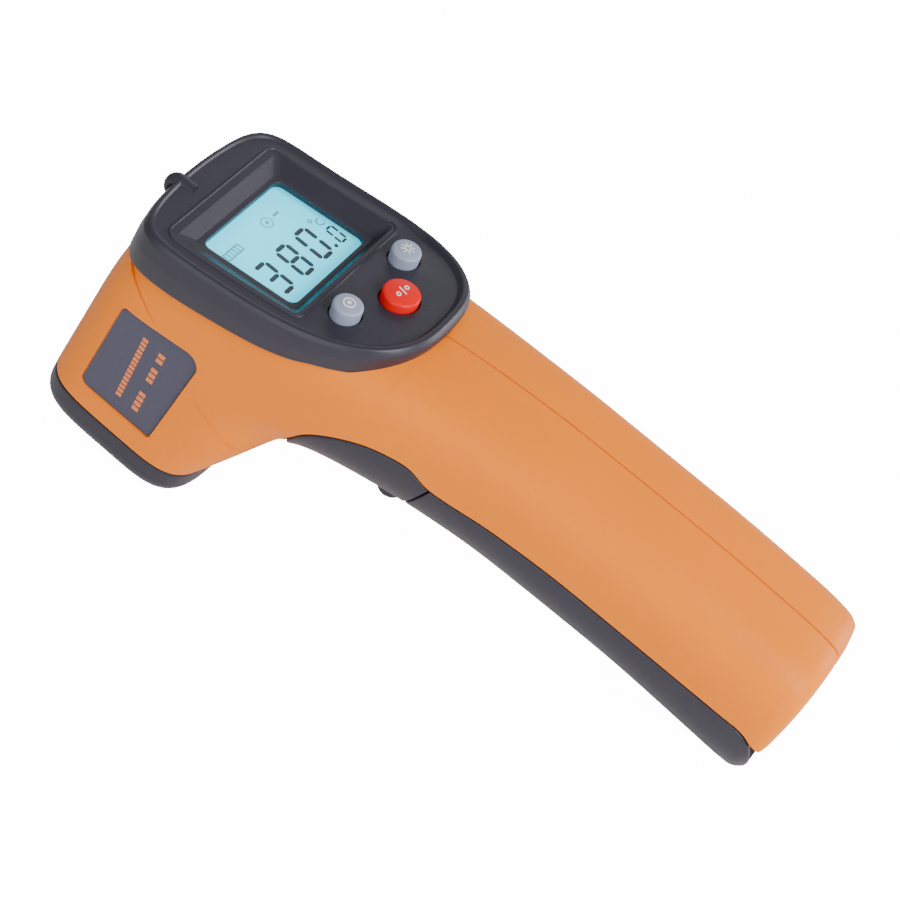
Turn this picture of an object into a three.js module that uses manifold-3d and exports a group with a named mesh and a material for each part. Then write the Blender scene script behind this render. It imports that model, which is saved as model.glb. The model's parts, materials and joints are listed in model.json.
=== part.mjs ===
// Pistol-grip infrared thermometer, built as an assembly of separate parts.
// Units are millimetres. Inside the "tool" group the axes follow the instrument in the hand:
// +X to the nose, +Y to the user's left, +Z up the handle. The outer group lays the tool
// on its nose and its heel, display up, with the origin under the middle of its box.
import * as THREE from 'three';
import Module from 'manifold-3d';
import { mergeVertices } from 'three/addons/utils/BufferGeometryUtils.js';

const wasm = await Module();
wasm.setup();

// ---------------------------------------------------------------- driving dimensions
const GAP = 0.3; // between neighbouring parts
const WALL = 2.0; // moulded wall
const DISPLAY_LEAN = 7.78; // degrees, display stack against the handle
const BARREL_LEAN = 2.13; // degrees, optical axis against the handle's normal

// Key sections of the body, from the heel up the handle and out along the barrel.
// front and back are (x, z) on the middle plane; power sets how square the section is.
const BODY_SECTIONS = [
  { front: [26.5, -92.0], back: [2.5, -91.8], half: 12.5, power: 2.6 },
  { front: [29.7, -91.2], back: [-0.2, -90.8], half: 15.2, power: 2.9 },
  { front: [31.0, -88.5], back: [-1.4, -87.8], half: 16.2, power: 3.0 },
  { front: [30.4, -80.0], back: [-2.2, -80.0], half: 16.5, power: 3.0 },
  { front: [29.0, -56.0], back: [-3.0, -56.0], half: 16.5, power: 3.0 },
  { front: [29.2, -30.0], back: [-2.9, -30.0], half: 16.7, power: 3.0 },
  { front: [30.7, -13.0], back: [-2.0, -13.0], half: 17.4, power: 3.0 },
  { front: [32.6, 1.0], back: [-0.3, 1.0], half: 18.6, power: 3.1 },
  { front: [34.2, 9.5], back: [2.0, 17.0], half: 19.6, power: 3.4 },
  { front: [37.5, 14.0], back: [4.0, 38.0], half: 20.2, power: 3.9 },
  { front: [42.5, 17.0], back: [9.0, 56.0], half: 20.5, power: 4.3 },
  { front: [48.0, 19.8], back: [26.0, 61.3], half: 20.5, power: 4.5 },
  { front: [54.5, 22.9], back: [44.0, 62.6], half: 20.5, power: 4.5 },
  { front: [60.7, 26.0], back: [59.3, 63.6], half: 20.5, power: 4.5 },
  { front: [66.7, 26.4], back: [65.3, 64.0], half: 20.5, power: 4.5 },
];
const NOSE_SECTION = BODY_SECTIONS[13]; // the joint between the shells and the nose bezel
const RINGS_PER_SECTION = 2;
const RING_POINTS = 24;

// Nose bezel: (distance forward of its joint, inset from the nose section)
const BEZEL_STEPS = [[0, 0], [3.5, 0], [6.0, 0.7], [7.8, 2.0], [8.8, 3.8], [9.2, 6.0]];
const BEZEL_DEPTH = 9.2;
const BARREL_ORIGIN = [60.0, 44.8];
const APERTURE = { up: -3.5, front: 11.8, back: 8.5, depth: 6.5, hole: 5.0, wall: 13.8 };
const LASER = { up: 13.0, hole: 2.0, radius: 3.2, length: 14.5 };

// Black front strip: trigger surround above, battery door below
const DOOR_PIVOT = [22.15, -84.2];
const DOOR_END_RADIUS = 7.0;
const DOOR_OPENS = 60; // degrees
const STRIP_EDGE_X = 15.0;
const STRIP_TOP = 13.8;
const STRIP_SPLIT = [[10, -16.5], [60, -0.8]]; // joint between surround and door
const TRIGGER = { pivot: [29.2, 8.6], half: 5.0, hub: 3.2, pin: 1.0, seat: [27.9, -4.6] };
const SPRING = { start: 0.45, length: 4.9, radius: 1.3, wire: 0.22, seat: 2.0, webSeat: 5.8 };
const SLOT = { half: 5.4, low: -14, high: 12.2, bridge: 21.4, cheek: 7.2 };

// Display housing, seen from behind, about the middle of the display
const DISPLAY_UP = 37;
const DISPLAY_FACE = 7.54;
const HOUSING_POINTS = 40;
const HOUSING_BOW = 2.6;
const HOUSING_BOW_REACH = 23;
const LCD = { half: 14.8, low: -13.4, high: 13.0 };
const KEYS = [
  { name: 'left', y: 10.3, up: -19.7, radius: 3.3, colour: 'grey' },
  { name: 'middle', y: 0, up: -25.1, radius: 3.9, colour: 'red' },
  { name: 'right', y: -10.3, up: -19.7, radius: 3.3, colour: 'grey' },
];

// The table line: (x, z) under the nose and under the heel, trimmed flat to rest on
const REST = { nose: [69.2, 30.1], heel: [30.2, -90.1] };
const REST_ANGLE = Math.atan2(REST.nose[1] - REST.heel[1], REST.nose[0] - REST.heel[0]);

// Two AAA cells side by side
const CELL = { radius: 5.2, length: 43.7, nubRadius: 1.9, nub: 0.8, x: 20.5, y: 5.7 };
const TRAY = { low: -81.6, high: -29.0, back: 12.6, front: 21.5, half: 12.6, plate: 1.4 };
const CONTACT = 0.5;

const SCREW = { shaft: 1.1, head: 2.3, height: 1.5, boss: 3.1, clear: 0.35 };
const CASE_SCREWS = [ // x, z and the depth of the head's seat
  [52.0, 30.0, 14.5],
  [33.0, 55.8, 14.5],
  [5.5, -14.0, 11.5],
  [7.0, -85.4, 11.0],
];
const BOARD_SCREWS = [[12.6, 15.7], [-12.6, 15.7], [0, -17.0]]; // y and height up the board

// ---------------------------------------------------------------- materials
function plastic(color, roughness = 0.5, extra = {}) {
  return new THREE.MeshStandardMaterial({ color, roughness, metalness: 0, ...extra });
}

function metal(color, roughness = 0.35) {
  return new THREE.MeshStandardMaterial({ color, roughness, metalness: 1 });
}

const orangePlastic = plastic(0xff8c22, 0.42);
const blackPlastic = plastic(0x34333c, 0.55);
const labelFilm = plastic(0x4c4c5c, 0.45);
const keyPlastic = { grey: plastic(0x9498a6, 0.5), red: plastic(0xe82b2b, 0.45) };
const clearPlastic = plastic(0xdff4f6, 0.08, { transparent: true, opacity: 0.35 });
const displayGlass = plastic(0x9feaf5, 0.2);
const whitePlastic = plastic(0xe6e8e4, 0.4);
const boardGreen = plastic(0x1f6b3a, 0.55);
const chipBlack = plastic(0x1c1c1f, 0.5);
const pinkElastomer = plastic(0xd98fa8, 0.7);
const lensPlastic = plastic(0x3a2f33, 0.25);
const redInsulation = plastic(0xb02020, 0.5);
const blackInsulation = plastic(0x202022, 0.5);
const cellJacket = plastic(0x2b3a86, 0.35);
const steel = metal(0xc6c8cc);
const brass = metal(0xc9a24a);

// ---------------------------------------------------------------- solids
function solidOf(geometry) {
  const plain = geometry.index ? geometry.toNonIndexed() : geometry.clone();
  plain.deleteAttribute('normal');
  plain.deleteAttribute('uv');
  const merged = mergeVertices(plain, 1e-4);
  return new wasm.Manifold(new wasm.Mesh({
    numProp: 3,
    vertProperties: Float32Array.from(merged.attributes.position.array),
    triVerts: Uint32Array.from(merged.index.array),
  }));
}

function geometryOf(solid) {
  const mesh = solid.getMesh();
  const geometry = new THREE.BufferGeometry();
  geometry.setAttribute('position', new THREE.BufferAttribute(mesh.vertProperties, mesh.numProp));
  geometry.setIndex(new THREE.BufferAttribute(mesh.triVerts, 1));
  geometry.computeVertexNormals();
  return geometry;
}

function join(...solids) {
  return solids.reduce((whole, next) => whole.add(next));
}

function cut(solid, ...tools) {
  return tools.reduce((rest, tool) => rest.subtract(tool), solid);
}

// A box between two corners
function block([x0, y0, z0], [x1, y1, z1]) {
  const geometry = new THREE.BoxGeometry(x1 - x0, y1 - y0, z1 - z0);
  return solidOf(geometry.translate((x0 + x1) / 2, (y0 + y1) / 2, (z0 + z1) / 2));
}

// A turned shape about a line along x: (x, radius) pairs that start and end on the line
function turned(profile, y, z, sides = 16) {
  const points = profile.map(([along, radius]) => new THREE.Vector2(radius, along));
  const geometry = new THREE.LatheGeometry(points, sides).rotateZ(-Math.PI / 2);
  return solidOf(geometry.translate(0, y, z));
}

// A rod along the x, y or z axis from a start point
function rod(axis, [x, y, z], length, radius, sides = 16) {
  const geometry = new THREE.CylinderGeometry(radius, radius, length, sides);
  geometry.translate(0, length / 2, 0);
  if (axis === 'x') geometry.rotateZ(-Math.PI / 2);
  if (axis === 'z') geometry.rotateX(Math.PI / 2);
  return solidOf(geometry.translate(x, y, z));
}

function shapeOf(points) {
  return new THREE.Shape(points.map(([x, z]) => new THREE.Vector2(x, z)));
}

// A side profile in (x, z), extruded across the tool from y0 to y1
function sideExtrusion(points, y0, y1, bevel = 0) {
  const geometry = new THREE.ExtrudeGeometry(shapeOf(points), {
    depth: y1 - y0 - 2 * bevel,
    bevelEnabled: bevel > 0,
    bevelThickness: bevel,
    bevelSize: bevel,
    bevelOffset: -bevel,
    bevelSegments: 2,
  });
  geometry.rotateX(Math.PI / 2);
  return solidOf(geometry.translate(0, y1 - bevel, 0));
}

// A smooth run of points through a few given ones
function smooth(points, count) {
  const curve = new THREE.SplineCurve(points.map(([x, z]) => new THREE.Vector2(x, z)));
  return curve.getPoints(count).map((point) => [point.x, point.y]);
}

// Points on an arc about a centre, angles in degrees
function arc([x, z], radius, from, to, steps) {
  return Array.from({ length: steps + 1 }, (_, i) => {
    const turn = THREE.MathUtils.degToRad(from + ((to - from) * i) / steps);
    return [x + radius * Math.cos(turn), z + radius * Math.sin(turn)];
  });
}

// Moves every point of an open line to the right of its direction of travel
function offsetLine(points, distance) {
  return points.map(([x, z], i) => {
    const [ax, az] = points[Math.max(i - 1, 0)];
    const [bx, bz] = points[Math.min(i + 1, points.length - 1)];
    const length = Math.hypot(bx - ax, bz - az);
    return [x + (distance * (bz - az)) / length, z - (distance * (bx - ax)) / length];
  });
}

// Closed surface through rings of equal size: capped at both ends, or closed on itself
function loft(rings, closed = false) {
  const size = rings[0].length;
  const positions = rings.flat().flatMap((point) => [point.x, point.y, point.z]);
  const index = [];
  const spans = closed ? rings.length : rings.length - 1;
  for (let i = 0; i < spans; i += 1) {
    const low = i * size;
    const high = ((i + 1) % rings.length) * size;
    for (let j = 0; j < size; j += 1) {
      const k = (j + 1) % size;
      index.push(low + j, low + k, high + k, low + j, high + k, high + j);
    }
  }
  if (!closed) {
    capRing(rings, 0, positions, index);
    capRing(rings, rings.length - 1, positions, index);
  }
  const geometry = new THREE.BufferGeometry();
  geometry.setAttribute('position', new THREE.Float32BufferAttribute(positions, 3));
  geometry.setIndex(index);
  return solidOf(geometry);
}

function capRing(rings, ring, positions, index) {
  const size = rings[ring].length;
  const centre = new THREE.Vector3();
  rings[ring].forEach((point) => centre.addScaledVector(point, 1 / size));
  positions.push(centre.x, centre.y, centre.z);
  const middle = positions.length / 3 - 1;
  for (let j = 0; j < size; j += 1) {
    const here = ring * size + j;
    const next = ring * size + ((j + 1) % size);
    if (ring === 0) index.push(middle, next, here);
    else index.push(middle, here, next);
  }
}

// A round cord through points in space
function cordAlong(points, radius, steps) {
  const path = new THREE.CatmullRomCurve3(points.map((point) => new THREE.Vector3(...point)));
  const section = new THREE.Shape().absarc(0, 0, radius, 0, 2 * Math.PI);
  const geometry = new THREE.ExtrudeGeometry(section, { steps, extrudePath: path, curveSegments: 3 });
  return solidOf(geometry);
}

// A coil spring about a line along x
function coil([x, y, z], length, radius, wire, turns) {
  const points = Array.from({ length: turns * 8 + 1 }, (_, i) => {
    const turn = (i * Math.PI) / 4;
    return [x + (length * i) / (turns * 8), y + radius * Math.cos(turn), z + radius * Math.sin(turn)];
  });
  return cordAlong(points, wire, turns * 10);
}

// ---------------------------------------------------------------- body form
function sectionRing({ front, back, half, power }, inset, forward = 0) {
  const lean = THREE.MathUtils.degToRad(BARREL_LEAN);
  const shift = [forward * Math.cos(lean), forward * Math.sin(lean)];
  const middle = [(front[0] + back[0]) / 2 + shift[0], (front[1] + back[1]) / 2 + shift[1]];
  const reach = [(front[0] - back[0]) / 2, (front[1] - back[1]) / 2];
  const scale = 1 - inset / Math.hypot(...reach);
  const round = (value) => Math.sign(value) * Math.abs(value) ** (2 / power);
  return Array.from({ length: RING_POINTS }, (_, j) => {
    const turn = (2 * Math.PI * j) / RING_POINTS;
    const along = round(Math.cos(turn)) * scale;
    const across = round(Math.sin(turn)) * (half - inset);
    return new THREE.Vector3(middle[0] + reach[0] * along, across, middle[1] + reach[1] * along);
  });
}

function sectionAt(place) {
  const through = (read) => new THREE.CatmullRomCurve3(
    BODY_SECTIONS.map((section) => new THREE.Vector3(...read(section))),
  ).getPoint(place);
  const front = through((section) => [section.front[0], 0, section.front[1]]);
  const back = through((section) => [section.back[0], 0, section.back[1]]);
  const size = through((section) => [section.half, section.power, 0]);
  return { front: [front.x, front.z], back: [back.x, back.z], half: size.x, power: size.y };
}

// The whole gun form inset by a distance, from a ring number on
function bodyForm(inset, start = 0) {
  const spans = (BODY_SECTIONS.length - 1) * RINGS_PER_SECTION;
  const rings = [];
  for (let i = start; i <= spans; i += 1) {
    rings.push(sectionRing(sectionAt(i / spans), inset));
  }
  return loft(rings);
}

const outerForm = bodyForm(0);
const middleForm = bodyForm(WALL / 2, 1);
const innerForm = bodyForm(WALL, 3);
const bodyWall = cut(outerForm, innerForm);

// Back face of the display housing, x by z
function housingBack(z) {
  return -3 + 0.3207 * (z - 3) - 0.00228 * (z - 3) ** 2;
}

// Edge where the display housing meets the orange shells
const RIM_LINE = smooth([[-1.2, -1], [1.4, 5], [5.0, 11.4], [10.0, 20.5], [13.7, 33.3],
  [16.6, 48.0], [17.8, 68.0]], 16);

function rimAt(z) {
  const after = Math.max(RIM_LINE.findIndex(([, height]) => height > z), 1);
  const [ax, az] = RIM_LINE[after - 1];
  const [bx, bz] = RIM_LINE[after];
  return ax + ((bx - ax) * (z - az)) / (bz - az);
}

function aheadOfRim(offset) {
  const edge = offsetLine(RIM_LINE, offset);
  const outline = [[-30, -100], [-30, -1], ...edge, [95, 68], [95, -100]];
  return sideExtrusion(outline, -30, 30);
}

// Line between the shells and the black strip, above the heel
function stripLine() {
  const grip = smooth([[STRIP_EDGE_X, DOOR_PIVOT[1]], [14.9, -66], [14.8, -45], [15.7, -28],
    [17.4, -14.2]], 8);
  const scallop = smooth([[17.4, -14.2], [15.3, -8.4], [16.7, -2.1], [20.6, 5.8], [26, 11.5],
    [32, STRIP_TOP]], 14);
  return [...grip, ...scallop.slice(1)];
}

// Everything ahead of the shells' front edge. The heel is cut clear of the door's swing.
function shellFront() {
  const arcEnd = 210;
  const heel = arc(DOOR_PIVOT, DOOR_END_RADIUS + GAP, arcEnd, 180, 2);
  const slope = THREE.MathUtils.degToRad(arcEnd - 180);
  const run = 9;
  const low = [heel[0][0] + run * Math.sin(slope), heel[0][1] - run * Math.cos(slope)];
  const edge = offsetLine(stripLine(), -GAP / 2).slice(1);
  return sideExtrusion([low, ...heel, ...edge, [50, STRIP_TOP + GAP / 2], [50, low[1]]], -30, 30);
}

// The space of the black strip itself
function stripSpace() {
  const heel = arc(DOOR_PIVOT, DOOR_END_RADIUS, 270, 180, 6);
  const edge = offsetLine(stripLine(), GAP / 2).slice(1);
  return sideExtrusion([...heel, ...edge, [50, STRIP_TOP - GAP / 2], [50, heel[0][1]]], -30, 30);
}

function splitSide(above) {
  const [[ax, az], [bx, bz]] = STRIP_SPLIT;
  const shift = above ? GAP / 2 : -GAP / 2;
  const far = above ? 60 : -120;
  return sideExtrusion([[ax, az + shift], [bx, bz + shift], [bx, far], [ax, far]], -30, 30);
}

// The half space on one side of the nose joint
function noseSide(forward) {
  const { front, back } = NOSE_SECTION;
  const shift = forward ? GAP / 2 : -GAP / 2;
  const far = forward ? 90 : -40;
  const lean = (front[0] - back[0]) / (back[1] - front[1]);
  const xAt = (z) => front[0] - (z - front[1]) * lean + shift;
  return sideExtrusion([[xAt(-100), -100], [xAt(80), 80], [far, 80], [far, -100]], -30, 30);
}

// Everything below the table line
function belowTable() {
  const [cos, sin] = [Math.cos(REST_ANGLE), Math.sin(REST_ANGLE)];
  const along = ([x, z], run, out) => [x + run * cos + out * sin, z + run * sin - out * cos];
  const { nose, heel } = REST;
  const under = [along(heel, -40, 0), along(heel, -40, 30), along(nose, 40, 30), along(nose, 40, 0)];
  return sideExtrusion(under, -30, 30);
}

// ---------------------------------------------------------------- assembly
const tool = new THREE.Group();
const displayStack = new THREE.Group(); // +X into the tool from the recess floor, +Z up the display
displayStack.position.set(DISPLAY_FACE, 0, DISPLAY_UP);
displayStack.rotation.y = THREE.MathUtils.degToRad(DISPLAY_LEAN);
const barrel = new THREE.Group(); // +X forward along the optical axis from the nose joint
barrel.position.set(BARREL_ORIGIN[0], 0, BARREL_ORIGIN[1]);
barrel.rotation.y = -THREE.MathUtils.degToRad(BARREL_LEAN);
const springLine = new THREE.Group(); // +X from the trigger's spring seat to the web's
springLine.position.set(TRIGGER.seat[0], 0, TRIGGER.seat[1]);
springLine.rotation.y = 1.5 * Math.PI - REST_ANGLE;
tool.add(displayStack, barrel, springLine);

function part(name, solid, material, parent = tool) {
  const mesh = new THREE.Mesh(geometryOf(solid), material);
  mesh.name = name;
  parent.add(mesh);
}

// Moves a solid made in a leaned group's axes into the tool's axes
function placed(solid, group) {
  group.updateMatrix();
  return solidOf(geometryOf(solid).applyMatrix4(group.matrix));
}

// ---------------------------------------------------------------- shells
function labelOutline(grow) {
  const corners = [[28.6, 53.3], [26.6, 34.8], [54.2, 36.9], [53.9, 54.6]];
  const radii = [1.2, 3.0, 1.2, 1.8];
  const centre = [40.8, 44.9];
  return corners.flatMap(([x, z], i) => {
    const inward = [Math.sign(centre[0] - x), Math.sign(centre[1] - z)];
    const radius = radii[i];
    const middle = [x + inward[0] * radius, z + inward[1] * radius];
    const facing = THREE.MathUtils.radToDeg(Math.atan2(-inward[1], -inward[0]));
    return arc(middle, radius + grow, facing - 45, facing + 45, 3);
  }).reverse();
}

const LABEL = { floor: 19.2, back: 19.5, face: 20.25 };

function shell(side) {
  const half = block([-20, side > 0 ? GAP / 2 : -30, -110], [100, side > 0 ? 30 : -GAP / 2, 80]);
  let bosses = null;
  let holes = null;
  for (const [x, z, seat] of CASE_SCREWS) {
    const boss = rod('y', [x, -22, z], 44, SCREW.boss, 12).intersect(middleForm);
    const shaft = rod('y', [x, -22, z], 31, SCREW.shaft + SCREW.clear, 12);
    const head = rod('y', [x, -30, z], 30 - seat, SCREW.head + SCREW.clear, 12);
    bosses = bosses ? join(bosses, boss) : boss;
    holes = holes ? join(holes, shaft, head) : join(shaft, head);
  }
  const label = side > 0
    ? sideExtrusion(labelOutline(GAP), LABEL.floor, 25)
    : sideExtrusion(labelOutline(GAP), -25, -LABEL.floor);
  return cut(join(bodyWall, bosses), holes, label, shellFront())
    .intersect(half)
    .intersect(aheadOfRim(GAP / 2))
    .intersect(noseSide(false));
}

function addShells() {
  part('left_shell', shell(1), orangePlastic);
  part('right_shell', shell(-1), orangePlastic);
  part('left_label', sideExtrusion(labelOutline(0), LABEL.back, LABEL.face), labelFilm);
  part('right_label', sideExtrusion(labelOutline(0), -LABEL.face, -LABEL.back), labelFilm);
  CASE_SCREWS.forEach(([x, z, seat], i) => {
    const start = -seat - GAP - SCREW.height;
    const head = rod('y', [x, start, z], SCREW.height, SCREW.head, 12);
    const shaft = rod('y', [x, start, z], seat + 8, SCREW.shaft, 8);
    part(`case_screw_${i + 1}`, join(head, shaft), steel);
  });
}

// ---------------------------------------------------------------- display housing
// One ring of the housing: half width, reach up and down from the display's middle, squareness
function housingRing(half, up, down, power, depthAt) {
  return Array.from({ length: HOUSING_POINTS }, (_, i) => {
    const turn = (2 * Math.PI * i) / HOUSING_POINTS;
    const y = Math.cos(turn);
    const rise = Math.sin(turn);
    const reach = rise > 0 ? up : down;
    const square = rise > 0 ? power[0] : power[1];
    const span = (Math.abs(y) / half) ** square + (Math.abs(rise) / reach) ** square;
    const radius = span ** (-1 / square);
    const height = rise * radius;
    const bow = HOUSING_BOW * ((y * radius) / half) ** 2;
    const sag = (bow * Math.max(height, 0)) / HOUSING_BOW_REACH;
    const z = DISPLAY_UP + height - sag;
    return new THREE.Vector3(depthAt(z), y * radius, z);
  });
}

function recessFloor(z) {
  return DISPLAY_FACE + (z - DISPLAY_UP) * Math.tan(THREE.MathUtils.degToRad(DISPLAY_LEAN));
}

function housingSkirt(z) {
  const tuck = 2.2 * THREE.MathUtils.clamp((17 - z) / 8, 0, 1);
  return rimAt(z) + tuck;
}

function housingShell() {
  const outline = [7, 2.8];
  const frame = [16, 16];
  const floor = 1.3;
  return loft([
    housingRing(21.4, 23.9, 35.9, outline, housingSkirt),
    housingRing(21.4, 23.4, 35.7, outline, (z) => (rimAt(z) + housingBack(z)) / 2),
    housingRing(21.3, 22.9, 35.3, outline, (z) => housingBack(z) + 1.9),
    housingRing(20.9, 22.3, 34.7, outline, (z) => housingBack(z) + 0.6),
    housingRing(20.0, 21.4, 33.7, outline, housingBack),
    housingRing(16.9, 14.4, 12.9, frame, housingBack),
    housingRing(13.7, 11.4, 11.3, frame, recessFloor),
    housingRing(12.7, 10.3, 10.5, frame, recessFloor),
    housingRing(12.7, 10.3, 10.5, frame, (z) => recessFloor(z) + floor),
    housingRing(15.2, 13.4, 13.8, frame, (z) => recessFloor(z) + floor),
    housingRing(17.6, 15.6, 15.1, frame, (z) => housingBack(z) + WALL),
    housingRing(18.6, 19.8, 32.4, outline, (z) => housingBack(z) + WALL),
    housingRing(19.4, 21.6, 33.8, outline, housingSkirt),
  ].reverse(), true);
}

function keyHoles(extra) {
  return KEYS.map(({ y, up, radius }) => {
    const hole = rod('x', [-12, y, up], 14, radius + extra, 20);
    return placed(hole, displayStack);
  });
}

function lanyardEyelet() {
  const [x, y, z] = [10.6, 4.0, 59.2];
  const arch = [[x - 3.0, z - 1.2], [x - 3.0, z + 1.4], [x - 1.9, z + 3.0], [x, z + 3.6],
    [x + 1.9, z + 3.0], [x + 3.0, z + 1.4], [x + 3.0, z - 1.2]];
  const opening = [[x - 1.6, z - 0.2], [x - 1.6, z + 1.2], [x - 0.8, z + 2.1], [x + 0.8, z + 2.1],
    [x + 1.6, z + 1.2], [x + 1.6, z - 0.2]];
  return cut(sideExtrusion(arch, y - 1.1, y + 1.1, 0.4), sideExtrusion(opening, y - 3, y + 3));
}

function addHousing() {
  const bosses = BOARD_SCREWS.map(([y, up]) => {
    const start = up > 0 ? -0.4 : -2.4;
    const post = rod('x', [start, y, up], 7.7 - start, 1.8, 10);
    const bore = rod('x', [2.9, y, up], 8, 0.9, 8);
    return placed(cut(post, bore), displayStack);
  });
  const body = cut(
    join(housingShell(), lanyardEyelet()),
    bodyForm(-GAP).intersect(aheadOfRim(-GAP / 2)),
    ...keyHoles(0.35),
  );
  part('display_housing', join(body, ...bosses), blackPlastic);
}

// ---------------------------------------------------------------- display and main board
function addDisplay() {
  const { half, low, high } = LCD;
  const add = (name, solid, material) => part(name, solid, material, displayStack);
  add('display_window', block([1.6, -half, low + 0.4], [2.4, half, high - 0.4]), clearPlastic);
  add('lcd_panel', block([2.7, -half, low], [4.5, half, high]), displayGlass);
  add('backlight_panel', block([4.8, -half, low + 2.6], [7.2, half, high]), whitePlastic);
  add('zebra_strip', block([4.8, -half + 1, low], [7.7, half - 1, low + 2.3]), pinkElastomer);
  const plate = join(
    block([8.0, -15.2, -24], [9.6, 15.2, 17.6]),
    block([8.0, -10.5, -33], [9.6, 10.5, -23]),
  );
  const holes = BOARD_SCREWS.map(([y, up]) => rod('x', [7, y, up], 4, 1.15, 8));
  add('main_board', cut(plate, ...holes), boardGreen);
  add('controller_chip', block([9.9, -5, -7], [11.3, 5, 3]), chipBlack);
  BOARD_SCREWS.forEach(([y, up], i) => {
    const head = rod('x', [9.9, y, up], 1.2, 1.9, 10);
    const shaft = rod('x', [4.2, y, up], 6.5, 0.6, 8);
    add(`board_screw_${i + 1}`, join(head, shaft), steel);
  });
}

function addKeys() {
  for (const { name, y, up, radius, colour } of KEYS) {
    const cap = turned([[-6.1, 0], [-6.0, radius - 1.3], [-5.7, radius - 0.4], [-5.1, radius],
      [-0.9, radius], [-0.9, radius + 0.9], [0.1, radius + 0.9], [0.1, radius - 0.4],
      [2.9, radius - 0.6], [2.9, 0]], y, up, 20);
    const base = cut(block([4.7, y - 3, up - 3], [7.7, y + 3, up + 3]), rod('x', [4, y, up], 2.9, 1.8, 12));
    part(`key_${name}`, cap, keyPlastic[colour], displayStack);
    part(`plunger_${name}`, rod('x', [3.2, y, up], 2.8, 1.4, 12), whitePlastic, displayStack);
    part(`switch_${name}`, base, chipBlack, displayStack);
  }
}

// ---------------------------------------------------------------- nose
function noseLoft(steps, inset, start = GAP / 2) {
  return loft(steps.map(([forward, step]) => sectionRing(NOSE_SECTION, inset + step, forward + start)));
}

function addNose() {
  const { up, front, back, depth, hole, wall } = APERTURE;
  const floor = BEZEL_DEPTH - depth;
  const pocketDepth = 6.4;
  const rim = BEZEL_DEPTH + 0.5;
  const cone = turned([[floor, 0], [floor, back], [rim, front], [rim, 0]], 0, up, 28);
  const bore = rod('x', [-5, 0, up], 15, hole, 20);
  const coneBody = rod('x', [-5, 0, up], 20, wall, 28);
  const laserBody = rod('x', [-5, 0, LASER.up], 20, LASER.radius + 1.6, 16);
  const laserSocket = rod('x', [-5, 0, LASER.up], 8.2, LASER.radius + GAP, 16);
  const laserHole = rod('x', [-5, 0, LASER.up], 20, LASER.hole, 12);
  const pocket = noseLoft([[-2, 0], [pocketDepth, 0]], 2.4);
  const hollow = cut(pocket, placed(coneBody, barrel), placed(laserBody, barrel));
  const openings = [cone, bore, laserSocket, laserHole].map((solid) => placed(solid, barrel));
  const bezel = cut(noseLoft(BEZEL_STEPS, 0), hollow, belowTable(), ...openings);
  part('front_bezel', bezel, blackPlastic);

  const add = (name, solid, material) => part(name, solid, material, barrel);
  const tube = cut(rod('x', [-12.4, 0, up], 12.2, 7.2, 20), rod('x', [-13, 0, up], 14, 5.9, 20));
  add('lens_barrel', tube, blackPlastic);
  const irLens = turned([[-2.2, 0], [-2.2, 5.5], [-1.3, 5.5], [-0.9, 3.6], [-0.7, 0]], 0, up, 20);
  add('ir_lens', irLens, lensPlastic);
  add('thermopile_sensor', turned([[-11.8, 0], [-11.8, 4.6], [-11.2, 4.6], [-11.2, 4.1], [-7.8, 4.1],
    [-7.4, 3.7], [-7.4, 1.5], [-7.7, 1.5], [-7.7, 0]], 0, up, 20), steel);
  add('sensor_board', block([-14.2, -9, up - 7.5], [-12.7, 9, up + 7.5]), boardGreen);
  add('laser_module', turned([[-11.8, 0], [-11.8, LASER.radius], [2.6, LASER.radius], [2.6, 1.5],
    [1.6, 1.5], [1.6, 0]], 0, LASER.up, 16), brass);
  const laserLens = turned([[3.6, 0], [3.6, 1.6], [4.3, 1.6], [4.7, 0.9], [4.8, 0]], 0, LASER.up, 12);
  add('laser_lens', laserLens, lensPlastic);
}

// ---------------------------------------------------------------- trigger
function triggerOutline() {
  const [x, z] = TRIGGER.pivot;
  const hub = arc([x, z], TRIGGER.hub, 150, 60, 4);
  const face = smooth([[34.4, 10.6], [36.2, 7.0], [36.2, 1.5], [38.0, -2.2], [40.4, -4.2]], 10);
  const tip = [[40.7, -5.6], [40.0, -7.6], [38.2, -8.8]];
  return [...hub, ...face, ...tip, [31.0, -8.2], [26.6, -7.2], [24.9, 2.5]].reverse();
}

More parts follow.
